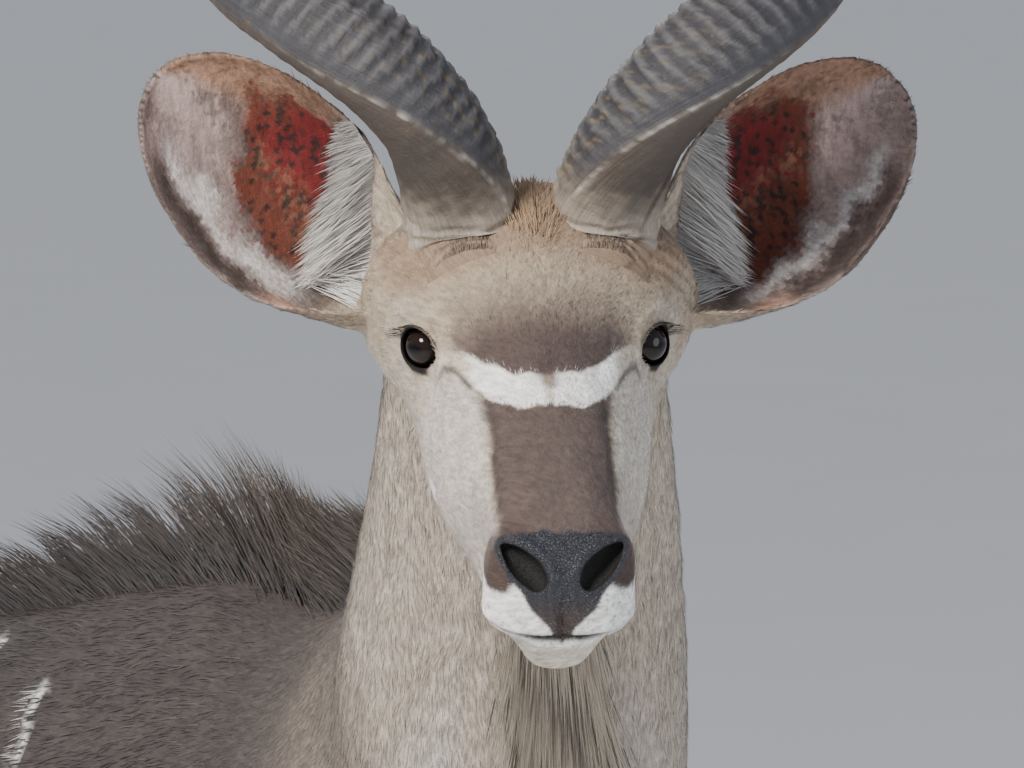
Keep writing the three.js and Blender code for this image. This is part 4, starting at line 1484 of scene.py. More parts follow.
    def soften(self, obj: Thing) -> None:
        """Rounds the edges of the lids and nostrils and the creases where the ears and jaw join.

        Args:
            obj: The skin's mesh.
        """
        points = YARD.places(obj.data)
        edges = read(obj.data.edges, "vertices", 2, np.int32)
        local = HEAD.local(points)
        weight = np.full(len(points), 0.15)
        for _, sign in SIDES:
            eye = np.linalg.norm(from_lids(local, sign), axis=1)
            weight = np.maximum(weight, 0.25 * fade(24, 34, eye))
            root = np.linalg.norm(local - np.array([sign * 100, -86, -24]), axis=1)
            weight = np.maximum(weight, fade(34, 56, root))
        jaw = fade(-130, -100, local[:, 1] + 0.25 * local[:, 2]) * (np.abs(local[:, 0]) < 120)
        weight = np.maximum(weight, jaw)
        near = relax(points, edges, weight, 3)
        YARD.place(obj.data, relax(near, edges, np.where(weight > 0.5, weight, 0), 30))

    def build(self) -> Thing:
        """The finished skin, still without its colours.

        Returns:
            The object.
        """
        body, head = self.body(), self.head()
        for obj, sign in ((body, 1), (head, -1)):
            self.cut(obj, sign)
        mesh = bmesh.new()
        mesh.from_mesh(body.data)
        mesh.from_mesh(head.data)
        drop(head)
        rims = [e for e in mesh.edges if e.is_boundary]
        bmesh.ops.bridge_loops(mesh, edges=rims)
        bmesh.ops.recalc_face_normals(mesh, faces=mesh.faces)
        mesh.to_mesh(body.data)
        mesh.free()
        body.name = "hide"
        body.data.polygons.foreach_set("use_smooth", np.ones(len(body.data.polygons), bool))
        return body

    def cut(self, obj: Thing, sign: int) -> None:
        """Cuts the mesh across the neck and keeps the tail's side (1) or the head's side (-1).

        Args:
            obj: The mesh.
            sign: The side to keep.
        """
        f = self.trunk.frames(np.array([0.87, 0.89]))
        along = unit(f["middle"][1] - f["middle"][0])
        at = f["middle"][0] + along * (-3.0 * sign)
        mesh = bmesh.new()
        mesh.from_mesh(obj.data)
        bmesh.ops.bisect_plane(mesh, geom=mesh.verts[:] + mesh.edges[:] + mesh.faces[:], dist=1e-6,
                               plane_co=Vector(YARD.metres(at)), plane_no=Vector(along * sign), clear_outer=True)
        mesh.to_mesh(obj.data)
        mesh.free()


# Eyes, horns and hooves


def dressed(obj: Thing, slot: str, material: Material, *nodes: str) -> Thing:
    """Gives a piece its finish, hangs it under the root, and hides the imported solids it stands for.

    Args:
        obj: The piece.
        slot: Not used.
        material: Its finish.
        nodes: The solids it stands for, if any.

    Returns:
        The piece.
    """
    obj.data.materials.append(material)
    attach(obj, "root")
    if nodes:
        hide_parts(*nodes)
    log.info("%s: %d points", obj.name, len(obj.data.vertices))
    return obj


@dataclass(frozen=True)
class EyeFinish:
    """A wet dark eye: brown iris, black level pupil."""

    wet: float = 0.03

    def make(self) -> Material:
        """The material, from the mesh's own colours.

        Returns:
            The finish.
        """
        b = Board("eye-wet")
        b.join(b.shaded(b.ranged(b.noise(700.0, 3.0), 0, 0.3, 0.7, (0.7, 1.25))), 2, b.shader, "Base Color")
        b.shader.inputs["Roughness"].default_value = 0.1
        b.shader.inputs["IOR"].default_value = 1.25
        b.shader.inputs["Coat Weight"].default_value = 0.55
        b.shader.inputs["Coat IOR"].default_value = 1.38
        b.shader.inputs["Coat Roughness"].default_value = self.wet
        b.bump((b.noise(120.0, 2.0), 0, 0.00015))
        return b.material


@dataclass
class Eye:
    """One eyeball with its cornea."""

    name: str
    side: float
    radius: float = 19.9
    cornea: float = 0.75

    def build(self, finish: Material) -> Thing:
        """Makes the eyeball and paints its iris and pupil.

        Args:
            finish: The eye's finish.

        Returns:
            The eyeball.
        """
        centre = eyeball_at(self.side)
        out, level, across = eye_axes(self.side)
        shell = ball(centre, self.radius, 64)
        way = unit(shell.points - centre)
        off = np.degrees(np.arccos(np.clip(way @ out, -1, 1)))
        points = centre + way * (self.radius - 1.0 + self.cornea * fade(20, 48, off))[:, None]
        obj = YARD.mesh(f"eyeball-{self.name}", Shell(points, shell.faces))
        pupil = np.hypot((way @ level) / 0.42, (way @ across) / 0.2)
        c = blend(paint(22, 14, 11), paint(30, 17, 12), fade(28, 42, off) * 0.8)
        c = blend(c, paint(12, 9, 8), smooth(38, 46, off))
        c = blend(c, paint(6, 5, 6), fade(0.8, 1.1, pupil))
        colour_points(obj.data, "markings", c)
        return dressed(obj, "eye", finish, f"eye_{self.name}")


@dataclass(frozen=True)
class HornFinish:
    """Old dry horn: pale and worn at the base, darker above, with long cracks and growth lines."""

    def make(self) -> Material:
        """The material, from the mesh's own colours and its length along the horn.

        Returns:
            The finish.
        """
        b = Board("horn-dry")
        fibre = b.stretched((34.0, 5.0, 1.0), 6.0, 0.65, 3.0, "growth")
        lines = b.stretched((3.0, 190.0, 1.0), 3.0, 0.5, 2.0, "growth")
        tone = b.product(b.ranged(fibre, 0, 0.3, 0.7, (0.72, 1.2)), 0, b.ranged(lines, 0, 0.35, 0.65, (0.93, 1.05)), 0)
        worn = b.ranged(b.noise(160.0, 6.0, 0.75), 0, 0.56, 0.72, (0.0, 0.25))
        b.join(b.mixed(worn, 0, (b.shaded(tone), 2), tuple(paint(122, 118, 118))), 2, b.shader, "Base Color")
        b.join(b.ranged(fibre, 0, 0.2, 0.8, (0.42, 0.7)), 0, b.shader, "Roughness")
        b.bump((fibre, 0, 0.0010), (lines, 0, 0.0003), (b.noise(420.0, 5.0, 0.7), 0, 0.0009))
        return b.material


@dataclass
class Horn:
    """One horn: a spiral that leans outwards, with a keel that turns with it and ridges across its front."""

    name: str
    side: float
    deep: float = 44.2
    wide: float = 41.2
    reach: float = 900.0
    turns: float = 2.56
    coil: float = 71.0
    swing: float = 1.4
    rings: int = 620
    sides: int = 64

    def centre(self, t: Array) -> Array:
        """The middle of the horn at places from the brow (0) to the tip (1).

        Args:
            t: The places.

        Returns:
            A point for each place.
        """
        axis, ahead = HEAD.vector(0, -0.79, 0.613), HEAD.vector(0, 0.613, 0.79)
        coil = self.coil * (1 - 0.4 * t)
        angle = self.angle(t)
        left = self.side * (50 + self.reach * t * (0.135 + 0.13 * t) + coil * (1 - np.cos(angle)))
        aside = ahead * (self.swing * coil * np.sin(angle))[:, None]
        return HEAD.points(columns(left, -62.0, 46.0)) + axis * (self.reach * t)[:, None] + aside

    def angle(self, t: Array) -> Array:
        """How far the horn has turned."""
        return 2 * math.pi * self.turns * (np.hypot(t, 0.06) - 0.06)

    def girth(self, t: Array) -> Array:
        """How thick the horn is beside its base, a little thinner where it stands in the brow."""
        return (0.985 * (1 - np.maximum(t, 0) ** 1.25) ** 0.8 + 0.015) * (1 - 3 * np.maximum(-t, 0))

    def ring(self, t: Array) -> tuple[Array, Array, Array]:
        """The horn's middle, which way it runs and where its keel points, at places along it.

        Args:
            t: The places.

        Returns:
            A point and two unit vectors for each place.
        """
        along = unit(self.centre(t + 0.01) - self.centre(t - 0.01))
        keel = across_to(np.tile(HEAD.vector(self.side * -1.1, 0.613, 0.79), (len(t), 1)), along)
        turn = (self.side * self.angle(t))[:, None]
        return self.centre(t), along, keel * np.cos(turn) + np.cross(along, keel) * np.sin(turn)

    def build(self, finish: Material) -> Thing:
        """Makes the horn with its ridges and colours.

        Args:
            finish: The horn's finish.

        Returns:
            The horn.
        """
        t = np.linspace(-0.045, 1, self.rings)
        centre, along, keel = self.ring(t)
        taper = self.girth(t)
        far = np.concatenate([[0], np.cumsum(np.linalg.norm(np.diff(centre, axis=0), axis=1))])
        far -= np.interp(0, t, far)
        deep = keel * (self.deep * taper)[:, None]
        wide = np.cross(along, keel) * (self.wide * taper)[:, None]
        grid = ovals(centre, deep * 1.04, deep * -1.12, wide, self.sides, np.full(len(t), 1.75), 2.2)
        places = grid.reshape(-1, 3)
        angle = np.tile(np.arange(self.sides) * 2 * math.pi / self.sides, self.rings)
        inner = -self.side * np.cos(angle)
        edge = hill(angle, math.pi / 2 + 0.03 * np.sin(np.repeat(t, self.sides) * 90), 0.05)
        shade, run = np.repeat(t, self.sides), np.repeat(far, self.sides)
        knots, grit = 0.5 + 0.5 * waves(places, 60, 71), waves(places, 13, 74)
        wave = ((run + 3.2 * np.sin(run / 31.0) + 1.5 * grit + 7.0 * inner) / (10.5 + 7.0 * shade)) % 1.0
        ridge = smooth(0.0, 0.4, wave) * fade(0.5, 1.0, wave)
        ridged = smooth(0.1, 0.75, inner) * fade(0.5, 0.85, shade) * smooth(22, 60, run)
        folds = fade(26, 56, run) * np.sin(run / 2.9 + 1.2 * grit + 2 * knots)
        lift = 3.0 * (ridge - 0.6) * ridged * (0.45 + 0.75 * knots) + 0.9 * folds + 1.0 * (knots - 0.6) + 0.35 * grit
        lift += 1.2 * edge * smooth(14, 40, run) * fade(0.6, 0.95, shade)
        lift *= np.repeat(0.25 + 0.75 * taper, self.sides)
        grid = grid + unit(grid - centre[:, None]) * lift.reshape(self.rings, self.sides, 1)
        obj = YARD.mesh(f"spiral-{self.name}", tube(grid))
        c = blend(paint(78, 68, 60), paint(58, 58, 64), smooth(-0.12, 0.2, inner + 0.08 * grit) * smooth(20, 110, run))
        # painted shade on the horn's outer lower face
        c = blend(c, paint(52, 46, 42), smooth(0.2, 0.9, -inner) * smooth(30, 90, run) * 0.5)
        c = blend(c, paint(150, 138, 124), fade(18, 84, run + 9 * grit))
        foot = fade(10, 48, run + 5 * grit) * (0.55 + 0.35 * np.sin(run / 2.9 + 1.2 * grit))
        c = blend(c, paint(166, 157, 146), foot)
        # painted shade in the grooves between the ridges, and painted highlight on their crests
        c = blend(c, paint(36, 33, 34), (1 - ridge) * ridged * 0.55)
        c = blend(c, paint(122, 118, 116), smooth(0.6, 1.0, ridge) * ridged * 0.35)
        # the pale keel line is partly wear and partly painted highlight where the keel catches the light
        keel_wear_and_highlight = edge * smooth(24, 60, run) * fade(0.1, 0.2, shade) * np.clip(0.35 + 0.5 * grit, 0, 1)
        c = blend(c, paint(196, 188, 176), keel_wear_and_highlight)
        lichen = smooth(0.6, 1.0, waves(places, 8, 73)) * ridged * fade(0.06, 0.18, shade)
        c = blend(c, paint(150, 124, 58), lichen * 0.5)
        c = blend(c, paint(50, 47, 48), np.clip(waves(places, 55, 72), 0, 1) * 0.3)
        c = blend(c, paint(232, 222, 200), smooth(0.955, 0.985, shade))
        c = blend(c, Hue.FOREHEAD, fade(-5, -1, run + 1.5 * grit))
        colour_points(obj.data, "markings", np.concatenate([c, c[:1], c[-1:]]))
        flat = columns(np.tile(np.arange(self.sides) / self.sides, self.rings), run / METRE)
        flat = np.concatenate([flat, [[0.5, 0.0], [0.5, far[-1] / METRE]]])
        corners = read(obj.data.loops, "vertex_index", 1, np.int32)[:, 0]
        layer = obj.data.uv_layers.new(name="growth")
        layer.data.foreach_set("uv", flat[corners].astype(np.float32).ravel())
        return dressed(obj, "horn", finish, f"horn_{self.name}")


@dataclass(frozen=True)
class HoofFinish:
    """Dark hoof horn with growth lines, scuffed in patches."""

    def make(self) -> Material:
        """The material, from the height above the ground.

        Returns:
            The finish.
        """
        b = Board("hoof-horn")
        lines = b.stretched((12.0, 12.0, 420.0), 3.0)
        dust = b.ranged(b.noise(45.0, 5.0), 0, 0.35, 0.75)
        colour = b.mixed(lines, 0, tuple(paint(34, 29, 27)), tuple(paint(72, 62, 55)))
        worn = b.mixed(dust, 0, (colour, 2), tuple(paint(104, 94, 84)))
        b.join(worn, 2, b.shader, "Base Color")
        b.join(b.ranged(lines, 0, 0.2, 0.8, (0.38, 0.6)), 0, b.shader, "Roughness")
        b.bump((lines, 0, 0.0009), (b.noise(500.0, 3.0), 0, 0.0004))
        return b.material


@dataclass
class Foot:
    """The two claws and two dew claws of one foot."""

    leg: Leg

    def claw(self, part: float) -> Shell:
        """One claw of the hoof, flat underneath.

        Args:
            part: 1 for left, -1 for right.

        Returns:
            Its shell.
        """
        end = self.leg.stations[-1]
        foot_y = end[1] + self.leg.swing(end[0])
        levels = np.array([(57.7, 31, 14.5, 0), (40, 36, 17, -7), (18, 44, 19, -16), (0, 50, 20, -22)], float)
        z, deep, wide, ahead = spline(levels, np.linspace(0, 1, 48)).T
        deep = deep + 0.5 * np.sin(z / 1.9) * smooth(4, 12, z)
        wide = wide - 0.4 - 0.9 * fade(0, 3, z)
        deep = deep - 0.9 * fade(0, 3, z)
        centre = columns(self.leg.side * end[2] + part * (wide + 1.9), foot_y + ahead, z)
        heel, toe = columns(0, deep * 0.85, 0), columns(part * -wide * 0.2, -deep, 0)
        return tube(ovals(centre, heel, toe, columns(wide, 0, 0), 64, np.full(len(z), 2.5), 1.85))

    def dew(self, part: float) -> Shell:
        """One dew claw behind the fetlock.

        Args:
            part: 1 for left, -1 for right.

        Returns:
            Its shell.
        """
        fetlock = self.leg.stations[-4]
        back = fetlock[1] + self.leg.swing(fetlock[0])
        fall, radius = spline(np.array([(0, 9), (-9, 10), (-20, 7), (-28, 2)], float), np.linspace(0, 1, 28)).T
        centre = columns(self.leg.side * fetlock[2] + part * 13, back + fetlock[3] - 2 - fall * 0.35,
                         fetlock[0] - 6 + fall)
        deep = columns(0, radius, 0)
        return tube(ovals(centre, deep, -deep, columns(radius * 0.8, 0, 0), 32, np.full(len(fall), 2.0)))

    def build(self, finish: Material) -> None:
        """Makes the four pieces.

        Args:
            finish: The hoof's finish.
        """
        for side, part in SIDES:
            hoof = YARD.mesh(f"hoof_{self.leg.name}_{side}-horn", self.claw(part))
            dressed(hoof, "hoof", finish, f"hoof_{self.leg.name}_{side}")
            dew = YARD.mesh(f"dewclaw_{self.leg.name}_{side}-horn", self.dew(part))
            dressed(dew, "dewclaw", finish, f"dewclaw_{self.leg.name}_{side}")


# The coat


@dataclass(frozen=True)
class HairFinish:
    """Dry animal hair: soft sheen, no colour of its own beyond the markings."""

    name: str
    rough: float = 0.62

    def make(self) -> Material:
        """The material, from the hair's own colours.

        Returns:
            The finish.
        """
        b = Board(self.name)
        b.join(b.shaded(b.ranged(b.noise(500.0, 2.0), 0, 0.3, 0.7, (0.88, 1.1))), 2, b.shader, "Base Color")
        b.shader.inputs["Roughness"].default_value = self.rough
        b.shader.inputs["Sheen Weight"].default_value = 0.12
        b.shader.inputs["Sheen Roughness"].default_value = 0.45
        b.bump((b.noise(2200.0, 2.0), 0, 0.0002))
        return b.material


@dataclass
class Growth:
    """Hairs or locks as arrays: where each is rooted and how it lies."""

    roots: Array
    out: Array
    fall: Array
    side: Array
    length: Array
    width: Array
    colour: Array
    tip: Array
    place: Array
    normal: Array

    def __len__(self) -> int:
        """How many there are."""
        return len(self.roots)

    def some(self, rows: Array) -> Growth:
        """A part of them."""
        return Growth(*(getattr(self, name)[rows] for name in self.__dataclass_fields__))


@dataclass
class Weave:
    """Turns growth into solid meshes, none of them too heavy."""

    finish: Material
    heaviest: int = 190_000
    patch: float = 0.003
    softness: float = 0.55

    def blades(self, g: Growth, steps: int, thin: float) -> tuple[Array, Array, Array, Array]:
        """Closed three-sided blades that taper to a point.

        Args:
            g: The hairs.
            steps: Rings before the point.
            thin: The blade's thickness as a share of its width.

        Returns:
            Points, faces, each point's share of the length, and each point's place across.
        """
        shares = np.linspace(0, 1, steps + 1)[:-1]
        points = np.empty((len(g), steps * 3 + 1, 3))
        long = g.length[:, None]
        for k, s in enumerate(shares):
            centre = g.roots + g.out * long * (s - 0.2 * s * s) + g.fall * long * 0.5 * s * s
            half = (g.width / 2 * (1 - s) ** 0.55 * (0.75 + 0.25 * min(1.0, s * 4)))[:, None]
            through = np.cross(g.side, g.out)
            points[:, 3 * k] = centre + g.side * half
            points[:, 3 * k + 1] = centre - g.side * half
            points[:, 3 * k + 2] = centre + through * half * thin * 2
        points[:, -1] = g.roots + g.out * long * 0.8 + g.fall * long * 0.5
        faces = [(0, 2, 1)]
        for k in range(steps - 1):
            for a, b in ((0, 1), (1, 2), (2, 0)):
                faces += [(3 * k + a, 3 * k + b, 3 * k + 3 + b), (3 * k + a, 3 * k + 3 + b, 3 * k + 3 + a)]
        last = 3 * (steps - 1)
        faces += [(last + a, last + b, steps * 3) for a, b in ((0, 1), (1, 2), (2, 0))]
        share = np.concatenate([np.repeat(shares, 3), [1.0]])
        across = np.concatenate([np.tile([1.0, -1.0, 0.0], steps), [0.0]])
        return points, np.array(faces), share, across

    def make(self, name: str, g: Growth, slot: str, steps: int = 1, thin: float = 0.3) -> None:
        """Makes as many pieces as the growth needs.

        Args:
            name: The first part of the pieces' names.
            g: The hairs.
            slot: A slot name, passed on with each piece.
            steps: Rings before each point.
            thin: Thickness as a share of width.
        """
        each = 1 + 6 * (steps - 1) + 3
        count = math.ceil(len(g) * each / self.heaviest)
        for i in range(count):
            one = g.some(np.arange(i, len(g), count))
            points, faces, share, across = self.blades(one, steps, thin)
            n, size = points.shape[:2]
            rows = (faces[None] + (np.arange(n) * size)[:, None, None]).reshape(-1, 3)
            obj = YARD.mesh(f"{name}-{i + 1}" if count > 1 else name, Shell(points.reshape(-1, 3), [rows]))
            mix = (smooth(0.35, 1.0, share))[None, :, None]
            shade = (0.80 + 0.24 * share)[None, :, None]
            colours = (one.colour[:, None] * (1 - mix) + one.tip[:, None] * mix) * shade
            colour_points(obj.data, "markings", np.clip(colours, 0, 1).reshape(-1, 3))
            corners = read(obj.data.loops, "vertex_index", 1, np.int32)[:, 0]
            spot = np.stack([across * 0.5, share - 0.5], 1)[None] * self.patch
            uv = (one.place[:, None] + spot).reshape(-1, 2)[corners]
            obj.data.uv_layers.new(name="OFBake").data.foreach_set("uv", uv.astype(np.float32).ravel())
            if self.softness:
                own = read(obj.data.vertices, "normal", 3)
                skin = np.repeat(one.normal, size, axis=0)
                obj.data.normals_split_custom_set_from_vertices(unit(own * (1 - self.softness) + skin * self.softness))
            dressed(obj, slot, self.finish)


@dataclass
class Ground:
    """The skin as arrays that the coat is sown on."""

    points: Array
    triangles: Array
    normals: Array
    colours: Array
    parts: Array
    shares: Array
    bare: Array
    lie: Array

    @classmethod
    def of(cls, mesh: Mesh, parts: Array, shares: Array, colours: Array, bare: Array,
           lie: Callable[[Array, Array, Array, Array], Array]) -> Ground:
        """Reads a mesh and works out how the hair lies all over it.

        Args:
            mesh: The skin.
            parts: The part of each point.
            shares: How far round and along each is.
            colours: The colour of each point.
            bare: How bare each point is.
            lie: Gives the way the hair lies from points, parts, shares and normals.

        Returns:
            The skin as arrays.
        """
        mesh.calc_loop_triangles()
        tri = read(mesh.loop_triangles, "vertices", 3, np.int32)
        normals = read(mesh.vertices, "normal", 3).astype(float)
        edges = read(mesh.edges, "vertices", 2, np.int32)
        points = YARD.places(mesh)
        way = relax(lie(points, parts, shares, normals), edges, np.ones(len(points)), 14)
        return cls(points, tri, normals, colours, parts, shares, bare, across_to(way, normals))

    def nearest(self, places: Array) -> Array:
        """The number of the skin's own point next to each place.

        Args:
            places: Where, all within one hand's breadth or so.

        Returns:
            A number for each place.
        """
        near = np.flatnonzero(np.linalg.norm(self.points - places.mean(0), axis=1) < 170)
        tree = KDTree(len(near))
        for i in near.tolist():
            tree.insert(self.points[i], i)
        tree.balance()
        return np.fromiter((tree.find(p)[1] for p in places.tolist()), int, len(places))

    def sow(self, count: int, density: Array, length: Array, width: Array, lean: Array, seed: int,
            swirl: float = 0.2, fleck: float = 0.34) -> Growth:
        """Scatters short hairs.

        Args:
            count: How many.
            density: How thickly they stand at each point of the skin.
            length: Their length at each point.
            width: Their width at each point.
            lean: How far they rise from the skin at each point, as a share.
            seed: Chooses the scatter.
            swirl: How far they stray from the lie.
            fleck: How much darker the odd hair is.

        Returns:
            The hairs.
        """
        draw = np.random.default_rng(seed)
        corner = self.points[self.triangles]
        area = np.linalg.norm(np.cross(corner[:, 1] - corner[:, 0], corner[:, 2] - corner[:, 0]), axis=1)
        load = area * density[self.triangles].mean(1)
        chosen = np.searchsorted(np.cumsum(load) / load.sum(), draw.random(count))
        chosen = np.minimum(chosen, len(load) - 1)
        u, v = draw.random((2, count))
        u, v = np.where(u + v > 1, 1 - u, u), np.where(u + v > 1, 1 - v, v)
        share = np.stack([1 - u - v, u, v], 1)[:, :, None]
        tri = self.triangles[chosen]

        def mean(values: Array) -> Array:
            """A value of the skin at the roots."""
            rows = values[tri]
            return (rows * (share if rows.ndim == 3 else share[..., 0])).sum(1)

        roots, normal, lie = mean(self.points), unit(mean(self.normals)), unit(mean(self.lie))
        side = unit(np.cross(normal, lie))
        stray = swirl * (waves(roots, 42, seed + 1) + 0.7 * waves(roots, 15, seed + 2) + draw.normal(0, 0.55, count))
        lie = unit(lie + side * stray[:, None])
        side = unit(np.cross(normal, lie))
        size = draw.uniform(0.72, 1.22, count)
        rise = mean(lean) * draw.uniform(0.7, 1.35, count)
        out = unit(lie + normal * rise[:, None])
        tone = 1 + fleck * (0.5 * draw.normal(size=count) - 0.6 * (draw.random(count) < 0.16)
                            + 0.35 * waves(roots, 5, seed + 4))
        tone += 0.06 * waves(roots, 20, seed + 3)
        colour = np.clip(mean(self.colours) * tone[:, None], 0, 1)
        long = mean(length) * size
        nearest = tri[np.arange(count), share[..., 0].argmax(1)]
        place = atlas_place(self.parts[nearest], self.shares[nearest])
        return Growth(roots - normal * 0.6, out, (lie * 0.35 - normal * 0.22 * rise[:, None]), side, long,
                      mean(width) * size, colour, colour, place, normal)


@dataclass
class ShortCoat:
    """The flat coat: hair by hair on the face, longer and coarser over the neck and body."""

    trunk: Trunk
    face_hairs: int = 78_000
    neck_hairs: int = 62_000
    body_hairs: int = 78_000
    ear_hairs: int = 26_000

    def lie(self, points: Array, parts: Array, shares: Array, normals: Array) -> Array:
        """Which way the hair lies: from the nose back, from the head to the tail, and down the legs.

        Args:
            points: The places.
            parts: The part of each.
            shares: How far round and along each is.
            normals: The skin's normal at each place.

        Returns:
            A unit vector for each place, flat on the skin.
        """
        way = np.tile([0.0, 0.85, -0.35], (len(points), 1))
        t = shares[:, 1] * NECK_END
        is_trunk = parts == PARTS.index(Part.TRUNK)
        f = self.trunk.frames(t[is_trunk])
        back = self.trunk.frames(np.maximum(t[is_trunk] - 0.02, 0))
        line = unit(back["middle"] - f["middle"])
        fall = np.array([0, 0, -1.0]) * np.abs(np.cos(shares[is_trunk, 0] * 2 * math.pi))[:, None]
        way[is_trunk] = line + fall * (0.35 + 0.2 * smooth(0.5, 0.7, t[is_trunk]))[:, None]
        for leg in LEGS:
            here = parts == PARTS.index(leg.part)
            way[here] = [0.0, 0.28, -1.0]
        way[parts == PARTS.index(Part.TAIL)] = [0.0, 0.1, -1.0]
        head = parts == PARTS.index(Part.HEAD)
        left, _, up = HEAD.local(points[head]).T
        spread = columns(np.sign(left) * (0.15 + 0.25 * smooth(0, 60, np.abs(left))), -1.0,
                         -0.35 * smooth(20, 70, np.abs(left)) * fade(0, 40, up))
        way[head] = spread @ HEAD.axes()
        for sign, part in ((1, Part.EAR_LEFT), (-1, Part.EAR_RIGHT)):
            here = parts == PARTS.index(part)
            along, _, across = Ear(sign).axes()
            round_ = shares[here, 0]
            inside = round_ >= 0.5
            t2 = np.where(inside, 3 - 4 * round_, 4 * round_ - 1)
            way[here] = along + (across * sign) * (0.55 * t2 * np.where(inside, 1.0, 0.6))[:, None]
        return across_to(way, normals)

    def build(self, ground: Ground, weave: Weave) -> None:
        """Sows the coat and makes its pieces.

        Args:
            ground: The skin.
            weave: Makes the pieces.
        """
        local = HEAD.local(ground.points)
        _, forward, up = local.T
        near_head = on_head(ground.points, ground.parts, ground.shares)
        ears = np.isin(ground.parts, [PARTS.index(Part.EAR_LEFT), PARTS.index(Part.EAR_RIGHT)]).astype(float)
        t = ground.shares[:, 1] * NECK_END
        neck = smooth(0.58, 0.64, t) * (ground.parts == PARTS.index(Part.TRUNK)) * (1 - near_head)
        body = 1 - np.clip(near_head + ears + neck, 0, 1)
        eyes = np.minimum(*(np.linalg.norm(from_lids(local, sign), axis=1) for _, sign in SIDES))
        mouth = hill(up, -56, 3) * smooth(165, 185, forward)
        bald = ground.bare + fade(20.5, 23.5, eyes) + fade(2, 5, nostril_gap(local)) + mouth
        face = near_head * np.clip(1 - bald, 0, 1)
        small = smooth(40, 230, forward)
        long = 8.5 - 4.0 * small + 6 * smooth(0, 90, -up - 40) * (1 - small) - 3.0 * hill(eyes, 24, 9)
        wide = 1.4 - 0.4 * small
        lean = np.full(len(t), 0.2)
        sparse = 0.8 + 1.5 * smooth(60, 200, forward)
        weave.make("coat-face", ground.sow(self.face_hairs, face * sparse, long, wide, lean, 101, fleck=0.38), "head")
        rim = np.abs(np.where(ground.shares[:, 0] >= 0.5, 3 - 4 * ground.shares[:, 0], 4 * ground.shares[:, 0] - 1))
        inside = (ground.shares[:, 0] >= 0.5) * ears
        tip = smooth(0.6, 0.9, ground.shares[:, 1])
        far = np.maximum(tip, smooth(0.7, 0.95, rim) * smooth(0.3, 0.5, ground.shares[:, 1]))
        ear_long = np.where(inside > 0, 5.0 + 5 * smooth(0.6, 1, rim) * (1 - tip), 9.0 - 4.5 * far)
        ear_load = ears * np.where(inside > 0, 0.8 + 0.8 * smooth(0.6, 0.95, rim), 1.0)
        ear_load *= 2 - smooth(0.1, 0.3, ground.shares[:, 1])
        weave.make("coat-ears", ground.sow(self.ear_hairs, ear_load, ear_long, np.full(len(t), 1.25), lean * 1.1, 102,
                                           fleck=0.4), "ear")
        weave.make("coat-neck", ground.sow(self.neck_hairs, neck, np.full(len(t), 13.0), np.full(len(t), 1.3), lean,
                                           103, fleck=0.18), "neck")
        z = ground.points[:, 2]
        low = fade(300, 800, z)
        body_long = 20 - 11 * low
        body_wide = 2.7 - 1.3 * low
        load = body * (1 + 0.9 * low) * smooth(56, 62, z)
        weave.make("coat-body", ground.sow(self.body_hairs, load, body_long, body_wide, lean, 104, fleck=0.42), "torso")


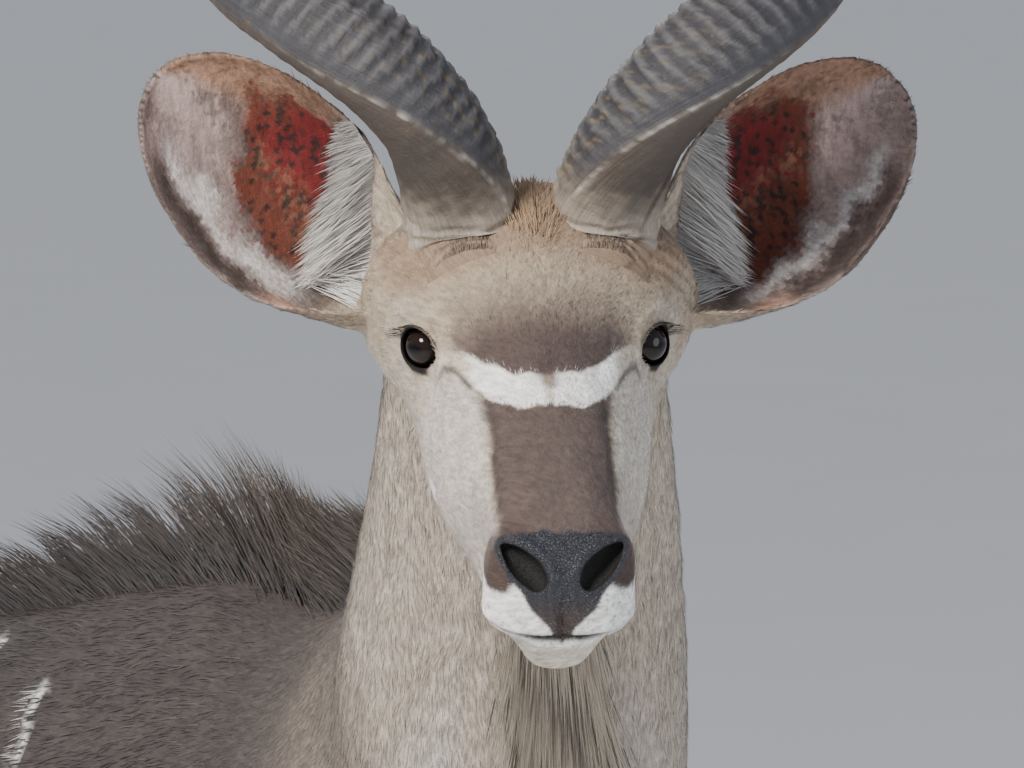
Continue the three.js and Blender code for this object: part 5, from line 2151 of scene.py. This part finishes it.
@dataclass
class LongHair:
    """The crest, the throat fringe, the tail's brush, and the hair of the brow, ears and lids."""

    trunk: Trunk
    tail: Tail
    crest_hairs: int = 8800
    beard_hairs: int = 7800
    brush_hairs: int = 2400

    def grown(self, roots: Array, out: Array, fall: Array, side: Array, length: Array, width: Array, colour: Array,
              tip: Array, place: Array) -> Growth:
        """Long hairs from plain arrays, at a common shading."""
        out, fall, side = (np.broadcast_to(v, roots.shape) for v in (unit(out), fall, side))
        return Growth(roots, out, fall, across_to(side, out), length, width, colour, tip, place, out)

    def crest(self) -> Growth:
        """Upright dark hair with pale tips along the nape, withers and back.

        Returns:
            The hairs.
        """
        draw = np.random.default_rng(7)
        n = self.crest_hairs
        t = 0.12 + 0.77 * draw.random(n) ** 0.8
        f, ahead, behind = (self.trunk.frames(t + d) for d in (0.0, 0.01, -0.01))
        lie = unit(behind["top"] - ahead["top"])
        up = across_to(f["top"] - f["low"], lie)
        across = unit(f["side"])
        height = 45 + 80 * smooth(0.3, 0.6, t) * (1 - 0.85 * smooth(0.72, 0.89, t))
        low = draw.random(n) < 0.4
        aside = draw.normal(0, 1, n) * (5 + 7 * smooth(0.3, 0.56, t)) * np.where(low, 1.4, 0.9)
        clump = waves(f["top"] + across * aside[:, None] * 3, 46, 81)
        roots = f["top"] + across * aside[:, None] - up * (8 + 0.02 * aside[:, None] ** 2)
        out = up + lie * (1.1 - 0.8 * smooth(0.25, 0.6, t) + 0.8 * smooth(0.8, 0.92, t) + 0.15 * clump)[:, None]
        out = out + across * (aside * 0.016 + draw.normal(0, 0.08, n))[:, None]
        fall = lie * (0.6 + 0.25 * clump)[:, None] + across * draw.normal(0, 0.12, n)[:, None]
        length = (height + 8) * draw.uniform(0.66, 1.08, n) * (1 + 0.12 * clump) * np.exp(-(aside / 24) ** 2)
        length = np.where(low, 0.5 * length, length)
        front = smooth(0.5, 0.66, t + 0.06 * clump)
        root = blend(Hue.GREY, Hue.SHADE, np.where(low, 0.7, 1.0) * draw.random(n))
        root = np.where(low[:, None], root, blend(root, Hue.CREST, np.full(n, 0.6)))
        tip = blend(Hue.CREST, paint(92, 66, 52), draw.random(n) ** 2)
        tip = blend(tip, Hue.CREST_TIP, smooth(0.5, 0.9, draw.random(n) + 0.3 * front) * front * 0.9)
        tip = np.where(low[:, None], root * draw.uniform(0.8, 1.3, (n, 1)), tip)
        place = spot_on(Part.TRUNK, 0.25, t / NECK_END)
        return self.grown(roots, out, fall, lie, length, draw.uniform(1.2, 2.2, n), root, tip, place)

    def beard(self) -> Growth:
        """Pale and dark hair that hangs under the throat.

        Returns:
            The hairs.
        """
        draw = np.random.default_rng(23)
        n = self.beard_hairs
        share = draw.random(n)
        t = 0.70 + 0.265 * share
        f = self.trunk.frames(t)
        out = unit(f["low"] - f["middle"])
        across = unit(f["side"])
        aside = draw.normal(0, 1, n) * (13 + 5 * np.sin(math.pi * share))
        clump = waves(f["low"] + across * aside[:, None] * 2, 44, 83)
        roots = f["low"] + across * aside[:, None] - out * (10 + 0.016 * aside[:, None] ** 2)
        way = out * 0.7 + np.array([0, 0, -0.65])
        way = way + across * (aside * 0.012 + draw.normal(0, 0.07, n) + 0.06 * clump)[:, None]
        fall = np.array([0, 0, -0.75]) + across * (aside * 0.004 + draw.normal(0, 0.06, n))[:, None]
        length = 158 * (0.62 + 0.38 * np.sin(math.pi * share)) * draw.uniform(0.5, 1.0, n) * np.exp(-(aside / 46) ** 2)
        streak = smooth(0.1, 0.7, waves(roots, 34, 84) + 0.4 * draw.normal(size=n))
        colour = blend(paint(206, 190, 168), paint(84, 70, 64), streak * 0.85)
        tip = blend(colour, paint(226, 214, 196), 0.5 * (1 - streak))
        place = spot_on(Part.TRUNK, 0.75, t / NECK_END)
        return self.grown(roots, way, fall, across, length, draw.uniform(1.0, 2.0, n), colour, tip, place)

    def brush(self) -> Growth:
        """The tail's brush, pale underneath and black at the end.

        Returns:
            The hairs.
        """
        draw = np.random.default_rng(41)
        n = self.brush_hairs
        t = 0.42 + 0.57 * draw.random(n)
        angle = draw.uniform(0, 2 * math.pi, n)
        ring = columns(np.cos(angle), np.sin(angle), 0)
        roots = spline(self.tail.path, t) + ring * 6
        out = ring * 0.3 + np.array([0, 0, -1.0]) + draw.normal(0, 0.05, (n, 3))
        length = (60 + 115 * smooth(0.42, 0.8, t)) * draw.uniform(0.7, 1.08, n)
        side = columns(-ring[:, 1], ring[:, 0], 0)
        colour = blend(Hue.SHADE, Hue.WHITE, smooth(0.1, 0.6, -ring[:, 1]) * 0.85)
        colour = blend(colour, Hue.BLACK, smooth(0.66, 0.84, t + draw.normal(0, 0.03, n)) * 0.95)
        place = spot_on(Part.TAIL, angle / 2 / math.pi, t)
        return self.grown(roots, out, -ring * 0.3, side, length, draw.uniform(1.8, 3.0, n), colour, colour, place)

    def ear_fan(self, ear: Ear, part: Part, count: int = 2600) -> Growth:
        """The white fan of hair that lies from an ear's upper rim and root over its cup.

        Args:
            ear: The ear.
            part: Its part of the skin.
            count: How many hairs.

        Returns:
            The hairs.
        """
        draw = np.random.default_rng(61 + int(ear.side))
        s = 0.11 + 0.36 * draw.random(count) ** 0.85
        t = ear_edge(s) + 0.16 * draw.random(count) ** 1.5
        s_far = s + np.interp(s, [0.1, 0.2, 0.3, 0.42], [0.15, 0.05, 0.04, 0.06])
        t_far = t + np.interp(s, [0.1, 0.2, 0.3, 0.42], [0.0, 0.75, 0.8, 0.4])
        along, opening, _ = ear.axes()
        depth = np.full(count, ear.thick - 0.6)
        roots = ear.points(s, t, depth)
        out = unit(ear.points(s_far, t_far, depth) - roots)
        out = out + opening * draw.uniform(0.04, 0.3, count)[:, None] + draw.normal(0, 0.07, (count, 3))
        length = np.interp(s, [0.1, 0.2, 0.3, 0.42, 0.47], [60, 82, 76, 44, 24]) * draw.uniform(0.5, 1.1, count)
        tone = draw.uniform(0.86, 1.0, (count, 1)) * (0.95 + 0.05 * waves(roots, 9, 35))[:, None]
        colour = np.clip(Hue.WHITE * tone, 0, 1)
        place = spot_on(part, 0.5 + (1 - t) / 4, s)
        return self.grown(roots, out, -opening * 0.25 - along * 0.1, across_to(along, opening), length,
                          draw.uniform(0.8, 1.4, count), colour * 0.96, colour, place)

    def brow(self, skin: Ground, count: int = 1600) -> Growth:
        """Tan hair between the horns, and short hair that laps over their roots.

        Args:
            skin: The skin.
            count: How many hairs stand between the horns.

        Returns:
            The hairs.
        """
        draw = np.random.default_rng(67)
        between = HEAD.points(columns(draw.normal(0, 9, count), draw.normal(-66, 20, count), 80.0))
        near = skin.nearest(between)
        roots = skin.points[near] + draw.normal(0, 0.8, (count, 3))
        left = HEAD.local(roots)[:, 0]
        out = skin.normals[near] + HEAD.vector(1, 0, 0) * (np.sign(left) * 0.25)[:, None] + HEAD.vector(0, -0.5, 0)
        length = np.full(count, 10.5)
        for _, sign in SIDES:
            horn = Horn("line", sign)
            t, angle = draw.uniform(-0.044, 0.002, 7000), draw.uniform(0, 2 * math.pi, 7000)
            centre, along, keel = horn.ring(t)
            girth = horn.girth(t)
            way = (keel * (horn.deep * girth * np.cos(angle))[:, None]
                   + np.cross(along, keel) * (horn.wide * girth * np.sin(angle))[:, None])
            edge = centre + way
            close = skin.nearest(edge)
            above = ((edge - skin.points[close]) * skin.normals[close]).sum(1)
            keep = np.flatnonzero((above > -2) & (above < 45))
            near = np.concatenate([near, close[keep]])
            roots = np.concatenate([roots, edge[keep] - unit(way[keep])])
            out = np.concatenate([out, along[keep] + unit(way[keep]) * 0.22])
            length = np.concatenate([length, np.full(len(keep), 9.5)])
        n = len(near)
        out += draw.normal(0, 0.16, (n, 3))
        colour = blend(Hue.TAN, Hue.FOREHEAD, np.where(np.arange(n) < count, 0.3, 0.8))
        colour = colour * draw.uniform(0.75, 1.15, (n, 1))
        place = atlas_place(skin.parts[near], skin.shares[near])
        return self.grown(roots, out, HEAD.vector(0, -0.3, 0), HEAD.vector(1, 0, 0), length * draw.uniform(0.6, 1.2, n),
                          draw.uniform(0.7, 1.3, n), colour, np.clip(colour * 1.2, 0, 1), place)

    def lashes(self, count: int = 70) -> Growth:
        """Dark lashes on the upper lids.

        Args:
            count: How many to an eye.

        Returns:
            The hairs.
        """
        rows = []
        for _, sign in SIDES:
            draw = np.random.default_rng(71)
            out, along, above = eye_axes(sign)
            a = np.linspace(0.2, 1.02, count) * math.pi + draw.normal(0, 0.02, count)
            lid = along * (20.0 * np.cos(a))[:, None] + above * (16.2 * np.sin(a))[:, None]
            centre = eyeball_at(sign)
            roots = centre + unit(lid + out * 13.0) * 22.0
            way = out + above * 0.35 + along * (0.5 * np.cos(a))[:, None] + draw.normal(0, 0.06, (count, 3))
            n = len(a)
            dark = np.tile(paint(22, 18, 17), (n, 1))
            place = spot_on(Part.HEAD, np.full(n, 0.25 - sign * 0.2), 0.33)
            rows.append(self.grown(roots, way, np.tile(-above * 0.5, (n, 1)), np.tile(along, (n, 1)),
                                   draw.uniform(10, 15, n) * (1 + 0.7 * (a > 2.5)), np.full(n, 0.9), dark, dark, place))
        return Growth(*(np.concatenate([getattr(r, name) for r in rows]) for name in rows[0].__dataclass_fields__))

    def build(self, ears: list[Ear], skin: Ground, weave: Weave) -> None:
        """Makes every piece of long hair.

        Args:
            ears: Both ears.
            skin: The skin.
            weave: Makes the pieces.
        """
        weave.make("crest", self.crest(), "neck", 3, 0.25)
        weave.make("throat-fringe", self.beard(), "neck", 3, 0.25)
        weave.make("tail-brush", self.brush(), "tail", 4, 0.25)
        for ear, part in zip(ears, (Part.EAR_LEFT, Part.EAR_RIGHT)):
            weave.make(f"ear-fan-{'left' if ear.side > 0 else 'right'}", self.ear_fan(ear, part), "ear", 4)
        weave.make("brow-hair", self.brow(skin), "head", 2)
        weave.make("lashes", self.lashes(), "head", 3, 0.4)


# The studio


@dataclass
class Studio:
    """A pale floor, soft lights and the camera at the photograph's angle."""

    eyes: Triple = (-145.33, -746.14, 1643.0)
    azimuth: float = 45.0
    elevation: float = 8.0
    distance: float = 8000.0
    lens: float = 365.6
    aside: float = -18.5
    lift: float = -32.3

    def camera(self) -> None:
        """Makes the scene's camera."""
        turn, rise = math.radians(self.azimuth), math.radians(self.elevation)
        back = np.array([-math.sin(turn) * math.cos(rise), -math.cos(turn) * math.cos(rise), math.sin(rise)])
        right = np.array([math.cos(turn), -math.sin(turn), 0.0])
        up = np.cross(back, right) * -1
        up = up if up[2] > 0 else -up
        aim = np.array(self.eyes) + right * self.aside + up * self.lift
        data = bpy.data.cameras.new("camera")
        data.lens, data.sensor_width = self.lens, 36.0
        data.clip_start, data.clip_end = 0.1, 100.0
        cam = bpy.data.objects.new("camera", data)
        cam.location = Vector((aim + back * self.distance) / METRE)
        cam.rotation_mode = "QUATERNION"
        cam.rotation_quaternion = Vector(-back).to_track_quat("-Z", "Y")
        bpy.context.scene.collection.objects.link(cam)
        bpy.context.scene.camera = cam

    def light(self, name: str, at: Triple, size: float, power: float,
              colour: Triple) -> None:
        """An area light that faces the animal's head.

        Args:
            name: The light's name.
            at: Where it is, in metres.
            size: Its width.
            power: Its power.
            colour: Its colour.
        """
        data = bpy.data.lights.new(name, "AREA")
        data.shape, data.size, data.energy, data.color = "DISK", size, power, colour
        obj = bpy.data.objects.new(name, data)
        obj.location = Vector(at)
        obj.rotation_mode = "QUATERNION"
        obj.rotation_quaternion = (Vector((-0.05, -0.4, 1.35)) - Vector(at)).to_track_quat("-Z", "Y")
        bpy.context.scene.collection.objects.link(obj)

    def build(self) -> None:
        """Makes the floor, the lights and the surrounding glow."""
        floor = bpy.data.meshes.new("floor")
        reach = 30.0
        floor.from_pydata([(-reach, -reach, 0), (reach, -reach, 0), (reach, reach, 0), (-reach, reach, 0)], [],
                          [(0, 1, 2, 3)])
        obj = bpy.data.objects.new("floor", floor)
        b = Board("floor-pale")
        b.shader.inputs["Roughness"].default_value = 0.9
        tone = b.mixed(b.noise(3.0), 0, (0.72, 0.72, 0.72), (0.77, 0.77, 0.77))
        b.join(tone, 2, b.shader, "Base Color")
        floor.materials.append(b.material)
        bpy.context.scene.collection.objects.link(obj)
        world = bpy.data.worlds.new("glow")
        world.use_nodes = True
        world.node_tree.nodes["Background"].inputs["Color"].default_value = (0.78, 0.82, 0.9, 1)
        world.node_tree.nodes["Background"].inputs["Strength"].default_value = 0.62
        bpy.context.scene.world = world
        self.light("key", (-4.2, -1.2, 4.4), 1.6, 420.0, (1.0, 0.95, 0.88))
        self.light("fill", (1.5, -5.0, 2.2), 3.0, 60.0, (0.85, 0.91, 1.0))
        self.light("rim", (3.5, 3.5, 3.5), 2.5, 120.0, (1.0, 0.98, 0.95))
        self.camera()


def main() -> None:
    """Builds the animal piece by piece."""
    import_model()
    skull, trunk, tail = Skull(), Trunk(), Tail()
    ears = [Ear(1), Ear(-1)]
    Studio().build()
    log.info("studio ready")
    hide = Hide(skull, trunk, tail, ears).build()
    log.info("hide: %d points", len(hide.data.vertices))
    points = YARD.places(hide.data)
    parts, shares = Atlas(skull, trunk, tail, ears).find(points)
    marks = Markings(trunk)
    colours, bare = marks.at(points, parts, shares), np.clip(marks.nose(points), 0, 1)
    colour_points(hide.data, "markings", colours)
    number_points(hide.data, "bare", bare)
    hide.data.materials.append(SkinFinish().make())
    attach(hide, "root")
    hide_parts("head", "neck", "torso", "tail", *(leg.name for leg in LEGS), "ear_left", "ear_right")
    short = ShortCoat(trunk)
    ground = Ground.of(hide.data, parts, shares, colours, bare, short.lie)
    number_points(hide.data, "upright", smooth(0.5, 0.8, np.abs(ground.lie[:, 2])))
    short.build(ground, Weave(HairFinish("hair-short").make()))
    LongHair(trunk, tail).build(ears, ground, Weave(HairFinish("hair-long", 0.5).make(), softness=0.5))
    wet = EyeFinish().make()
    for side, sign in SIDES:
        Eye(side, sign).build(wet)
    dry = HornFinish().make()
    for side, sign in SIDES:
        Horn(side, sign).build(dry)
    horny = HoofFinish().make()
    for leg in LEGS:
        Foot(leg).build(horny)


if __name__ == "__main__":
    main()
